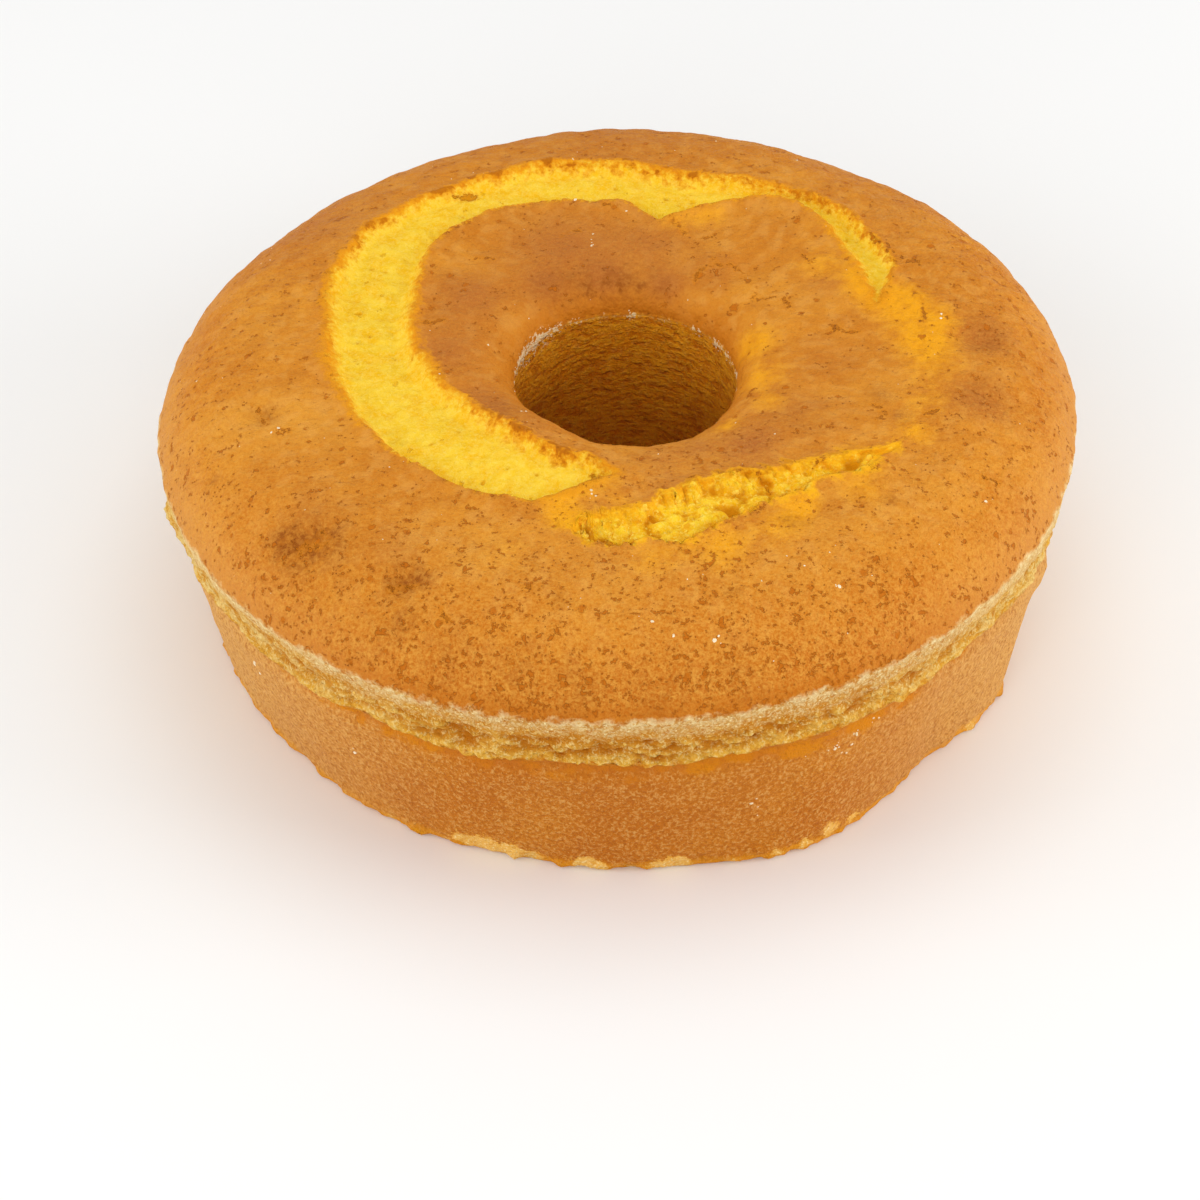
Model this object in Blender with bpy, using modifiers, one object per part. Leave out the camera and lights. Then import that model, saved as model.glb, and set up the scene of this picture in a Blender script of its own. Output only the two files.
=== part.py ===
"""A ring cake that was baked in a plain tapered ring tin, as one solid.

Units are metres and +Z is up. The origin is the middle of the base, and angles run
anticlockwise from +X, seen from above. The cake is a turned blank whose every section
is then moved to the form that the dough took: a dome that rose more on one side, a crust
that split round the crown, a torn ledge under the rim and a chipped foot.
"""

import bpy
from math import atan2, cos, degrees, exp, pi, radians, sin, sqrt
from mathutils import Vector, noise

MM = 0.001

# The tin: its wall leans outwards, and its tube is narrower at the top and a little off
# the middle, as the cake came out of it.
RIM_RADIUS = 120.3 * MM
FOOT_RADIUS = 106.0 * MM
HOLE_RADIUS_TOP = 29.2 * MM
HOLE_RADIUS_FOOT = 33.5 * MM
HOLE_SHIFT = 2.1 * MM
HOLE_SHIFT_ANGLE = radians(20)

# The dome. It rose more on one side, so the rim and crown are tilted there.
RIM_HEIGHT = 62.6 * MM
CROWN_HEIGHT = 83.6 * MM
CROWN_RADIUS = 80.0 * MM
RISE = 4.2 * MM
RISE_ANGLE = radians(-46.5)
DOME_FULLNESS = 2.5
DOME_ROUNDNESS = 1.4

# The shoulder, where the top rolls down into the hole, and how its lip wanders.
SHOULDER_RADIUS = 51.0 * MM
SHOULDER_DROP = 9.0 * MM
LIP_SWELL = 3.2 * MM
LIP_SWELL_ANGLE = radians(228)
LIP_SAG = 2.0 * MM
LIP_SAG_ANGLE = radians(325)
LIP_SPREAD = radians(38)

# The two splits of the crust, as stations: angle in degrees, then the radii of the
# inner and the outer lip in millimetres.
LONG_SPLIT = (
    (17, 71.0, 71.5), (22, 71.0, 77.0), (29, 73.0, 83.0), (37, 74.0, 84.5), (46, 78.5, 86.5),
    (57, 80.8, 85.5), (63, 75.0, 84.0), (71, 69.5, 82.0), (79, 60.5, 82.3), (89, 66.5, 84.0),
    (104, 69.5, 87.5), (122, 71.8, 87.5), (134, 69.5, 88.6), (145, 63.5, 88.0), (156, 58.0, 84.0),
    (168, 54.0, 78.6), (183, 48.2, 74.8), (197, 44.0, 71.6), (213, 41.2, 69.0), (231, 40.0, 66.2),
    (243, 40.5, 62.6), (249, 41.0, 62.8), (256, 41.2, 56.8), (264, 42.5, 50.5), (270, 46.0, 46.5),
)
SHORT_SPLIT = (
    (259, 67.5, 68.5), (264, 63.8, 73.5), (271, 62.2, 75.6), (276, 60.0, 74.6), (281, 57.6, 78.2),
    (290, 55.6, 73.6), (300, 56.6, 71.6), (308, 60.0, 71.8), (315, 65.0, 73.8), (323, 71.0, 79.0),
    (330, 78.5, 81.5), (336, 82.0, 82.5),
)
LONG_SPLIT_DEPTH = 3.6 * MM
SHORT_SPLIT_DEPTH = 4.6 * MM
SPLIT_FULL_WIDTH = 8.0 * MM
SPLIT_WALL = 2.4 * MM
SPLIT_SWELL = 0.35
LIP_BEAD = 0.9 * MM
LIP_BEAD_WIDTH = 3.5 * MM
LIP_RAGGED = 1.1 * MM
LIP_RAGGED_STEP = radians(6)
NO_SPLIT_BAND = (76 * MM, 82 * MM)

# Sunken spots on the crust: angle in degrees, radius, width and depth in millimetres.
DENTS = (
    (221, 105.5, 8.0, 2.0), (237, 100.0, 7.5, 2.4), (4, 94.5, 8.0, 1.8), (48, 50.5, 6.0, 1.2),
    (350, 103.0, 9.0, 1.3), (192, 92.5, 6.0, 1.2), (306, 80.5, 5.0, 0.9), (12, 33.5, 6.0, 1.2),
    (57, 110.0, 26.0, 2.0), (140, 110.0, 20.0, 1.2),
)

# The side, measured down from the rim: a floury band, a torn crumb, then a groove under
# the crumb's edge, which runs out into the smooth wall. It is deepest on one side.
BAND_DROP = 9.5 * MM
CRUMB_DROP = 18.5 * MM
CRUMB_DROP_RANGE = 3.5 * MM
GROOVE_DROP = 2.0 * MM
GROOVE_REACH = 7.5 * MM
GROOVE_DEPTH = 2.3 * MM
GROOVE_SIDE = radians(272)
GROOVE_SPREAD = radians(75)
CRUMB_RAGGED = 1.3 * MM
CRUMB_GRAIN = 8.0 * MM
FOOT_ROUND = 2.4 * MM
FOOT_CHIP = 1.6 * MM
FOOT_CHIP_HEIGHT = 7.0 * MM

# The foot isn't quite round, where its edge stuck to the tin: angle and half-width in
# degrees, and how far it stands in (below 0) or out, in millimetres.
FOOT_WEAR = ((215, 20, -2.0), (252, 24, -1.4), (296, 14, 3.2), (320, 9, -2.8), (337, 8, 2.4))

# Bits of dough that set on the side: angle, half-width (degrees), height, half-height and
# how far they stand out (millimetres).
SIDE_BEADS = ((192, 5, 50, 5, 2.2), (344, 5, 37, 5, 2.2), (296, 9, 47, 4, 1.0))

# How uneven the surface is: slow swells of the crust, and the wobble of rim and hole.
LUMP_HEIGHT = 1.1 * MM
LUMP_SIZE = 34.0 * MM
RIM_WOBBLE = 0.7 * MM
HOLE_WOBBLE = 0.5 * MM

SECTIONS = 120
INNER_CROWN_RINGS = 6
SHOULDER_RINGS = 5
OUTER_CROWN_RINGS = 10
WALL_SHARES = (0.35, 0.7, 1.0)
HOLE_SHARES = (0.0, 0.25, 0.5, 0.75, 1.0)
CAKE_COLOUR = (0.72, 0.27, 0.045, 1.0)


def smooth(t):
    """0 below t = 0, 1 above t = 1, and an S-curve between them."""
    t = min(1.0, max(0.0, t))
    return t * t * (3 - 2 * t)


def bump(distance, width):
    """A round hump, 1 in the middle and near 0 beyond its width."""
    return exp(-2 * (distance / width) ** 2)


def turn(a, b):
    """The angle from b to a, from -pi to pi."""
    return (a - b + pi) % (2 * pi) - pi


def wander(angle, radius, size, height=0.0, layer=0):
    """Noise from -1 to 1 that closes on itself round the cake; size is its grain."""
    x, y, z = radius * cos(angle), radius * sin(angle), height
    return noise.noise(Vector((x, y, z)) / size + layer * Vector((0.0, 0.0, 7.3)))


def ragged(angle, layer):
    """Noise of the torn lips, from -1 to 1, in steps of about LIP_RAGGED_STEP."""
    reach = 1 / LIP_RAGGED_STEP
    place = Vector((reach * cos(angle), reach * sin(angle), 3.1 * layer))
    return noise.noise(place) + 0.5 * noise.noise(2.3 * place)


def rise(angle, radius):
    return RISE * cos(angle - RISE_ANGLE) * radius / RIM_RADIUS


def slope(split, at, side):
    """How steeply a lip's radius changes at one of the split's stations."""
    before, after = split[max(0, at - 1)], split[min(len(split) - 1, at + 1)]
    return (after[side] - before[side]) / (after[0] - before[0])


def lip_radius(split, at, side, turned):
    """A lip's radius between stations at and at + 1, on a curve through all of them."""
    start, end = split[at], split[at + 1]
    gap = end[0] - start[0]
    t = (turned - start[0]) / gap
    curve = start[side] * (1 - smooth(t)) + end[side] * smooth(t)
    curve += gap * slope(split, at, side) * t * (1 - t) ** 2
    return curve - gap * slope(split, at + 1, side) * t * t * (1 - t)


def split_lips(split, angle):
    """(inner, outer) lip radius of a split at an angle, or None beyond its tips."""
    turned = degrees(angle) % 360
    if not split[0][0] <= turned <= split[-1][0]:
        return None
    at = max(i for i in range(len(split) - 1) if split[i][0] <= turned)
    inner, outer = (lip_radius(split, at, side, turned) * MM for side in (1, 2))
    fray = LIP_RAGGED * smooth((outer - inner) / SPLIT_FULL_WIDTH)
    layer = len(split)
    return inner + fray * ragged(angle, layer), outer + fray * ragged(angle, layer + 1)


def split_relief(split, depth, angle, radius):
    """How far the surface stands above (or below) the plain dome because of a split."""
    lips = split_lips(split, angle)
    if lips is None:
        return 0.0
    inner, outer = lips
    width = outer - inner
    fullness = smooth(width / SPLIT_FULL_WIDTH)
    if radius < inner or radius > outer:
        beyond = max(inner - radius, radius - outer)
        return LIP_BEAD * fullness * bump(beyond, LIP_BEAD_WIDTH)
    wall = min(SPLIT_WALL, 0.3 * width)
    across = (radius - inner) / width
    fall = smooth((radius - inner) / wall) * smooth((outer - radius) / wall)
    swell = 1 - SPLIT_SWELL * (1 - (2 * across - 1) ** 2)
    return fullness * (LIP_BEAD * (1 - fall) - depth * fall * swell)


def hole_radius(angle, plain):
    return plain + HOLE_SHIFT * cos(angle - HOLE_SHIFT_ANGLE)


def dome(angle, radius):
    """Height of the plain dome, before it was lifted, split or dented."""
    if radius > CROWN_RADIUS:
        out = min(1.0, (radius - CROWN_RADIUS) / (RIM_RADIUS - CROWN_RADIUS))
        rounding = (1 - out**DOME_FULLNESS) ** (1 / DOME_ROUNDNESS)
        return RIM_HEIGHT + (CROWN_HEIGHT - RIM_HEIGHT) * rounding
    if radius < SHOULDER_RADIUS:
        reach = SHOULDER_RADIUS - hole_radius(angle, HOLE_RADIUS_TOP)
        into = min(1.0, (SHOULDER_RADIUS - radius) / reach)
        return CROWN_HEIGHT - SHOULDER_DROP * (1 - sqrt(1 - into**DOME_FULLNESS))
    return CROWN_HEIGHT


def lip_wander(angle, radius):
    """The hole's lip stands up on one side and sags on another."""
    near = smooth((SHOULDER_RADIUS + 4 * MM - radius) / (SHOULDER_RADIUS - HOLE_RADIUS_TOP))
    swell = LIP_SWELL * bump(turn(angle, LIP_SWELL_ANGLE), LIP_SPREAD)
    sag = LIP_SAG * bump(turn(angle, LIP_SAG_ANGLE), LIP_SPREAD)
    return near * (swell - sag)


def dents(angle, radius):
    here = Vector((radius * cos(angle), radius * sin(angle)))
    total = 0.0
    for turned, out, width, depth in DENTS:
        place = out * MM * Vector((cos(radians(turned)), sin(radians(turned))))
        total += depth * MM * bump((here - place).length, width * MM)
    return total


def top_height(angle, radius):
    lumps = LUMP_HEIGHT * wander(angle, radius, LUMP_SIZE, layer=1)
    splits = split_relief(LONG_SPLIT, LONG_SPLIT_DEPTH, angle, radius)
    splits += split_relief(SHORT_SPLIT, SHORT_SPLIT_DEPTH, angle, radius)
    return (
        dome(angle, radius)
        + rise(angle, radius)
        + lip_wander(angle, radius)
        + lumps
        + splits
        - dents(angle, radius)
    )


def rim_radius(angle):
    return RIM_RADIUS + RIM_WOBBLE * wander(angle, RIM_RADIUS, 60 * MM, layer=2)


def foot_radius(angle):
    wear = sum(out * bump(degrees(turn(angle, radians(at))), wide) for at, wide, out in FOOT_WEAR)
    return FOOT_RADIUS + wear * MM


def crumb_drop(angle):
    """How far under the rim the torn crumb ends."""
    return CRUMB_DROP + CRUMB_DROP_RANGE * wander(angle, RIM_RADIUS, 26 * MM, layer=3)


def groove(angle, below_crumb):
    """Depth of the groove: it drops in under the crumb's edge and runs out again."""
    facing = 0.4 + 0.6 * bump(turn(angle, GROOVE_SIDE), GROOVE_SPREAD)
    drop_in = smooth(below_crumb / GROOVE_DROP)
    return GROOVE_DEPTH * facing * drop_in * (1 - smooth(below_crumb / GROOVE_REACH))


def side_beads(angle, height):
    total = 0.0
    for at, wide, high, tall, out in SIDE_BEADS:
        round_way = bump(degrees(turn(angle, radians(at))), wide)
        total += out * MM * round_way * bump(height - high * MM, tall * MM)
    return total


def side_radius(angle, height, rim_height):
    """Radius of the side at a height: the tin's leaning wall, with what tore off it."""
    rim, foot = rim_radius(angle), foot_radius(angle)
    wall = foot + (rim - foot) * height / rim_height
    below_crumb = rim_height - height - crumb_drop(angle)
    torn = smooth((rim_height - height) / BAND_DROP - 0.5) * smooth(-below_crumb / GROOVE_DROP + 0.5)
    crumb = CRUMB_RAGGED * torn * (0.4 + wander(angle, rim, CRUMB_GRAIN, 1.6 * height))
    stuck = max(0.0, wander(angle, rim, CRUMB_GRAIN, layer=4) - 0.1)
    chip = FOOT_CHIP * smooth(1 - height / FOOT_CHIP_HEIGHT) * stuck
    return wall - groove(angle, below_crumb) - crumb - chip + side_beads(angle, height)


def lips_to_follow(angle):
    """The band of rings that follows the splits, so that their lips are crisp. It passes
    from the long split to the short one between their overlapping tips."""
    long_end, short_start = radians(256), radians(272)
    turned = angle % (2 * pi)
    if long_end < turned < short_start:
        share = smooth((turned - long_end) / (short_start - long_end))
        first, second = lips_to_follow(long_end), lips_to_follow(short_start)
        return tuple(a + share * (b - a) for a, b in zip(first, second))
    lips = split_lips(SHORT_SPLIT, angle) if turned > pi * 1.45 else split_lips(LONG_SPLIT, angle)
    if lips is None:
        return NO_SPLIT_BAND
    inner, outer = lips
    spare = max(0.0, 5 * MM - (outer - inner)) / 2
    return inner - spare, outer + spare


def steps(start, end, count, ease=1.0):
    """count values from start towards end, without end; ease above 1 gathers them at the start."""
    return [start + (end - start) * (i / count) ** ease for i in range(count)]


def section(angle):
    """The cake's outline at an angle, as (radius, height) pairs: from the hole's lip out
    over the top, down the side, in along the base and up the wall of the hole."""
    inner, outer = lips_to_follow(angle)
    rim, hole = rim_radius(angle), hole_radius(angle, HOLE_RADIUS_TOP)
    wall = min(SPLIT_WALL, 0.3 * (outer - inner))
    shoulder = min(40 * MM, inner - 2 * MM)
    band = [inner, inner + wall]
    band += [inner + share * (outer - inner) for share in (0.35, 0.5, 0.65)]
    band += [outer - wall, outer]
    radii = steps(hole, shoulder, SHOULDER_RINGS, 1.6)
    radii += steps(shoulder, inner, INNER_CROWN_RINGS)
    radii += band
    radii += [rim - r for r in reversed(steps(0, rim - outer, OUTER_CROWN_RINGS, 1.5)[1:])]
    points = [(r, top_height(angle, r)) for r in radii]

    rim_height = RIM_HEIGHT + rise(angle, rim)
    edge = crumb_drop(angle)
    drops = [0.0, 0.5 * BAND_DROP, BAND_DROP, 0.5 * (BAND_DROP + edge), edge]
    drops += [edge + GROOVE_DROP, edge + GROOVE_REACH]
    heights = [rim_height - drop for drop in drops]
    heights += [heights[-1] + share * (FOOT_ROUND - heights[-1]) for share in WALL_SHARES]
    points += [(side_radius(angle, height, rim_height), height) for height in heights]

    foot = points[-1][0] - FOOT_ROUND
    points += [(foot, 0.0), (hole_radius(angle, HOLE_RADIUS_FOOT) + FOOT_ROUND, 0.0)]
    lip_height = points[0][1]
    for share in HOLE_SHARES[:-1]:
        height = FOOT_ROUND + share * (lip_height - FOOT_ROUND)
        radius = hole_radius(angle, HOLE_RADIUS_FOOT + share * (HOLE_RADIUS_TOP - HOLE_RADIUS_FOOT))
        points.append((radius + HOLE_WOBBLE * wander(angle, radius, 14 * MM, height, layer=5), height))
    return points


def turned_blank():
    """The section at angle 0, turned once round the axis. Each point remembers its station."""
    outline = [(r, 0.0, z) for r, z in section(0.0)]
    count = len(outline)
    loop = bpy.data.meshes.new("section")
    loop.from_pydata(outline, [(i, (i + 1) % count) for i in range(count)], [])
    loop.attributes.new("station", "INT", "POINT").data.foreach_set("value", range(count))
    blank = bpy.data.objects.new("blank", loop)
    bpy.context.scene.collection.objects.link(blank)
    screw = blank.modifiers.new("turn", "SCREW")
    screw.angle = 2 * pi
    screw.steps = screw.render_steps = SECTIONS
    screw.use_merge_vertices = True
    screw.merge_threshold = 0.00001
    graph = bpy.context.evaluated_depsgraph_get()
    mesh = bpy.data.meshes.new_from_object(blank.evaluated_get(graph))
    bpy.data.objects.remove(blank)
    return mesh


def take_form(mesh):
    """Moves each point of the blank to its station in the section at its angle."""
    stations = [item.value for item in mesh.attributes["station"].data]
    sections = {}
    for vertex, station in zip(mesh.vertices, stations):
        place = round(atan2(vertex.co.y, vertex.co.x) % (2 * pi) / (2 * pi) * SECTIONS) % SECTIONS
        angle = 2 * pi * place / SECTIONS
        if place not in sections:
            sections[place] = section(angle)
        radius, height = sections[place][station]
        vertex.co = (radius * cos(angle), radius * sin(angle), height)


def centre_on_base(mesh):
    """Puts the origin under the middle of the cake's width and depth."""
    xs, ys = ([vertex.co[axis] for vertex in mesh.vertices] for axis in (0, 1))
    middle = Vector(((min(xs) + max(xs)) / 2, (min(ys) + max(ys)) / 2, 0.0))
    for vertex in mesh.vertices:
        vertex.co -= middle


def crust_material():
    material = bpy.data.materials.new("browned_sponge")
    material.use_nodes = True
    shader = material.node_tree.nodes["Principled BSDF"]
    shader.inputs["Base Color"].default_value = CAKE_COLOUR
    shader.inputs["Roughness"].default_value = 0.75
    shader.inputs["Metallic"].default_value = 0.0
    return material


def clear_scene():
    for obj in list(bpy.data.objects):
        bpy.data.objects.remove(obj, do_unlink=True)


def build_cake():
    mesh = turned_blank()
    take_form(mesh)
    centre_on_base(mesh)
    mesh.name = "cake"
    mesh.materials.append(crust_material())
    mesh.shade_smooth()
    parts = bpy.data.collections.new("ring_cake")
    bpy.context.scene.collection.children.link(parts)
    parts.objects.link(bpy.data.objects.new("cake", mesh))


clear_scene()
build_cake()
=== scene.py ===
# %% [markdown]
# # An orange ring cake, dressed in cells
#
# The real thing is a sponge baked in a plain 24 cm ring tin and turned out. Its top rose
# out of the tin, browned, and split round the crown over the yellow crumb. This file
# dresses the imported solid of that cake. It builds the skin again at a finer grain than the
# solid has, marks what each place of it is (crust, open crumb, torn ledge, tin wall),
# roughens it with Geometry Nodes, scatters the crumbs, and gives it one baked finish.
#
# ## The frame
#
# Its box is noted now, before anything is added, and printed at the end beside the box
# of the dressed cake.

import bpy
import numpy as np
from math import atan2, cos, hypot, pi, radians, sin
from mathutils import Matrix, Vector, noise


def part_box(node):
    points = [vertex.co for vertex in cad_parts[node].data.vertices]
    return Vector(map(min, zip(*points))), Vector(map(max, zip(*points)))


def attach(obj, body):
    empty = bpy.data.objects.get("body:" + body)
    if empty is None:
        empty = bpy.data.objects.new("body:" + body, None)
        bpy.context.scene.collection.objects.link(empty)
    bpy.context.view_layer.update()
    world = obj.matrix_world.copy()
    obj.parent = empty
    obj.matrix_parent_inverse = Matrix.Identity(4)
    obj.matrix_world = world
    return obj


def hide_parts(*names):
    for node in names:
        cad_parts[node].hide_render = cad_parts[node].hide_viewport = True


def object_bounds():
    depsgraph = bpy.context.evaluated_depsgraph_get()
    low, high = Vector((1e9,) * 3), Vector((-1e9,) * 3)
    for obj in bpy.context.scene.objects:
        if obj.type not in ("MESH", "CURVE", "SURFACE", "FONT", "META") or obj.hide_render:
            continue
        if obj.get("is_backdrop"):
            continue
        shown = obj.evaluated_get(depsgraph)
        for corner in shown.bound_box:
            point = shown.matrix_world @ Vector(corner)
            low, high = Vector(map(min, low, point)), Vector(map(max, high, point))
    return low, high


MM = 0.001
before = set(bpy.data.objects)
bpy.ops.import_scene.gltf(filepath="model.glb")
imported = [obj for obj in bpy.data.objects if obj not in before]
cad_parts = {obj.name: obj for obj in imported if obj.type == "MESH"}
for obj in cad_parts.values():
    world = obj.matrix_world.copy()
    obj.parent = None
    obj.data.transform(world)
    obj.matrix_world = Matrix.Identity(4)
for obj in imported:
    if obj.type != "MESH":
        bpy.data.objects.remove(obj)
CAD_BOX = [list(corner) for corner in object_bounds()]
SOLID_LOW, SOLID_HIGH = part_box("cake")
print("solid", [round(1000 * side, 1) for side in SOLID_HIGH - SOLID_LOW], "mm")

# %% [markdown]
# ## Sizes of the dough
#
# The same named sizes that shaped the solid shape its skin, so the two agree. A tin that
# leans outwards gives the side, and the dough above it domes. The two splits are written
# as a maker would note them with a ruler: an angle, then how far out each lip lies.

# %% Tin, dome and shoulder
RIM_RADIUS = 120.3 * MM
FOOT_RADIUS = 106.0 * MM
HOLE_RADIUS_TOP = 29.2 * MM
HOLE_RADIUS_FOOT = 33.5 * MM
HOLE_SHIFT = 2.1 * MM
HOLE_SHIFT_ANGLE = radians(20)

RIM_HEIGHT = 62.6 * MM
CROWN_HEIGHT = 83.6 * MM
CROWN_RADIUS = 80.0 * MM
RISE = 4.2 * MM
RISE_ANGLE = radians(-46.5)
DOME_FULLNESS = 2.5
DOME_ROUNDNESS = 1.4

SHOULDER_RADIUS = 51.0 * MM
SHOULDER_DROP = 9.0 * MM
LIP_SWELL = 3.2 * MM
LIP_SWELL_ANGLE = radians(228)
LIP_SAG = 2.0 * MM
LIP_SAG_ANGLE = radians(325)
LIP_SPREAD = radians(38)

LUMP_HEIGHT = 1.1 * MM
LUMP_SIZE = 34.0 * MM
RIM_WOBBLE = 0.7 * MM
RIM_WOBBLE_SIZE = 60.0 * MM
HOLE_WOBBLE = 0.5 * MM
HOLE_WOBBLE_SIZE = 14.0 * MM

# %% The two splits: angle in degrees, inner and outer lip in mm
LONG_SPLIT = (
    (17, 70.0, 72.0), (22, 70.5, 77.0), (29, 73.0, 83.0), (37, 74.0, 84.5), (46, 78.5, 86.5),
    (57, 80.8, 85.5), (63, 75.0, 84.0), (71, 69.5, 82.0), (79, 60.5, 82.3), (89, 66.5, 84.0),
    (104, 69.5, 87.5), (122, 71.8, 87.5), (134, 69.5, 88.6), (145, 63.5, 88.0), (156, 58.0, 84.0),
    (168, 54.0, 78.6), (183, 48.2, 74.8), (197, 44.0, 71.6), (213, 41.2, 69.0), (231, 40.0, 66.2),
    (243, 40.5, 62.6), (249, 41.0, 62.8), (256, 41.2, 56.8), (264, 42.5, 50.5), (270, 46.0, 46.5),
)
SHORT_SPLIT = (
    (259, 67.5, 68.5), (264, 63.8, 73.5), (271, 62.2, 75.6), (276, 60.0, 74.6), (281, 57.6, 78.2),
    (290, 55.6, 73.6), (300, 56.6, 71.6), (308, 60.0, 71.8), (315, 65.0, 73.8), (323, 71.0, 79.0),
    (330, 78.5, 81.5), (336, 82.0, 82.5),
)
LONG_SPLIT_DEPTH = 3.6 * MM
SHORT_SPLIT_DEPTH = 4.6 * MM
SPLIT_FULL_WIDTH = 8.0 * MM
SPLIT_SWELL = 0.35
LIP_BEAD = 0.9 * MM
LIP_BEAD_WIDTH = 3.5 * MM
LIP_RAGGED = 1.1 * MM
LIP_RAGGED_STEP = radians(6)

# %% Sunken spots: angle in degrees, then radius, width and depth in mm
DENTS = (
    (221, 105.5, 8.0, 2.0), (237, 100.0, 7.5, 2.4), (4, 94.5, 8.0, 1.8), (48, 50.5, 6.0, 1.2),
    (350, 103.0, 9.0, 1.3), (192, 92.5, 6.0, 1.2), (306, 80.5, 5.0, 0.9), (12, 33.5, 6.0, 1.2),
    (57, 110.0, 26.0, 2.0), (140, 110.0, 20.0, 1.2),
)

# %% The side, measured down from the rim, and its foot
BAND_DROP = 9.8 * MM
BAND_LEAN = 1.8 * MM
BAND_LEAN_ANGLE = radians(35)
CRUMB_DROP = 18.5 * MM
CRUMB_DROP_RANGE = 3.5 * MM
CRUMB_DROP_SIZE = 26.0 * MM
GROOVE_DROP = 2.0 * MM
GROOVE_REACH = 7.5 * MM
GROOVE_DEPTH = 2.3 * MM
GROOVE_SIDE = radians(272)
GROOVE_SPREAD = radians(75)
CRUMB_RAGGED = 1.3 * MM
CRUMB_GRAIN = 8.0 * MM
FOOT_ROUND = 2.4 * MM
FOOT_CHIP = 1.6 * MM
FOOT_CHIP_HEIGHT = 7.0 * MM
FOOT_WEAR = ((215, 20, -2.0), (252, 24, -1.4), (296, 14, 3.2), (320, 9, -2.8), (337, 8, 2.4))
SIDE_BEADS = ((192, 5, 50, 5, 2.2), (344, 5, 37, 5, 2.2), (296, 9, 47, 4, 1.0))

# %% [markdown]
# ## Small tools for shaping
#
# A cake is a turned form, so every height and radius below is worked out for a whole grid
# at once: one row for each angle round the cake, one column for each ring. NumPy arrays do
# that in a few lines. Noise comes from `mathutils`, the same as the solid's, so that slow
# swells of the skin lie where the solid has them.

# %% Curves and noise on arrays
def smooth(t):
    t = np.clip(t, 0.0, 1.0)
    return t * t * (3 - 2 * t)


def bump(distance, width):
    return np.exp(-2 * (distance / width) ** 2)


def turn(a, b):
    return (a - b + pi) % (2 * pi) - pi


def grain(x, y, z):
    """Noise from -1 to 1 at every place of three arrays of coordinates."""
    places = np.stack(np.broadcast_arrays(x, y, z), -1)
    values = [noise.noise(Vector(place)) for place in places.reshape(-1, 3).tolist()]
    return np.array(values).reshape(places.shape[:-1])


def wander(angle, radius, size, height=0.0, layer=0):
    """Noise that closes on itself round the cake, with a grain of the given size."""
    x, y = radius * np.cos(angle) / size, radius * np.sin(angle) / size
    return grain(x, y, height / size + 7.3 * layer)


def cloudy(places, size, octaves, flatten=1.0):
    """Noise of several octaves, its first of the given size; flatten lays it in level streaks."""
    x, y, z = (part / size for part in places)
    steps = range(octaves)
    return sum(grain(x * 2**n, y * 2**n, flatten * z * 2**n + 5.2 * n) / 2**n for n in steps)


def ragged(angle, layer, fineness=1.0):
    reach = fineness / LIP_RAGGED_STEP
    return grain(reach * np.cos(angle), reach * np.sin(angle), 3.1 * layer * fineness)


print("noise at the rim", round(float(wander(0.0, RIM_RADIUS, LUMP_SIZE, layer=1)), 3))

# %% [markdown]
# ## Where the crust tore
#
# Each lip is a curve through its noted stations. A real tear is never smooth, so finer and
# finer noise is laid over the curve. What the rest of the file needs most is one number at
# every place: how far it lies inside a split, with a minus sign outside it. Shape, colour
# and roughness are all read from that number.

# %% How each lip of a split came out: soft or crisp, and how toasted and shaded
# Each row: angle, softness of the inner and outer lip, then toast of the inner and outer lip,
# which also stands for painted shade on that lip's wall.
LONG_LIPS = (
    (17, 1.0, 1.0, 0.1, 0.2), (27, 0.8, 0.2, 0.0, 0.3), (45, 0.6, 0.3, 0.1, 0.5),
    (75, 0.15, 0.4, 0.1, 1.0), (100, 0.05, 0.4, 0.0, 1.0), (130, 0.15, 0.5, 0.0, 0.9),
    (150, 0.6, 0.8, 0.1, 0.5), (180, 0.9, 0.9, 0.3, 0.2), (205, 0.7, 0.5, 0.6, 0.1),
    (222, 0.3, 0.05, 1.0, 0.0), (246, 0.3, 0.05, 1.0, 0.0), (252, 0.3, 0.7, 1.0, 0.0),
    (262, 0.5, 1.0, 0.8, 0.2), (270, 0.8, 1.0, 0.8, 0.3),
)
SHORT_LIPS = (
    (259, 0.9, 0.7, 0.5, 0.3), (266, 0.9, 0.3, 0.4, 0.2), (275, 0.7, 0.2, 0.3, 0.0),
    (285, 0.6, 0.5, 0.4, 0.0), (300, 0.6, 0.6, 0.5, 0.0), (315, 0.9, 0.8, 0.5, 0.0),
    (336, 1.0, 1.0, 0.3, 0.3),
)


def look_at(rows, angle, look):
    """One column of a lip table, at every angle."""
    table = np.array(rows)
    return np.interp(np.degrees(angle) % 360, table[:, 0], table[:, look])


# %% Lips of a split at every angle
def lip_curve(split, side, turned):
    at_angle, radii = np.array(split)[:, 0], np.array(split)[:, side]
    count = len(split)
    before, after = np.maximum(np.arange(count) - 1, 0), np.minimum(np.arange(count) + 1, count - 1)
    slope = (radii[after] - radii[before]) / (at_angle[after] - at_angle[before])
    at = np.clip(np.searchsorted(at_angle, turned, side="right") - 1, 0, count - 2)
    gap = at_angle[at + 1] - at_angle[at]
    t = np.clip((turned - at_angle[at]) / gap, 0, 1)
    curve = radii[at] * (1 - smooth(t)) + radii[at + 1] * smooth(t)
    return (curve + gap * (slope[at] * t * (1 - t) ** 2 - slope[at + 1] * t * t * (1 - t))) * MM


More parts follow.
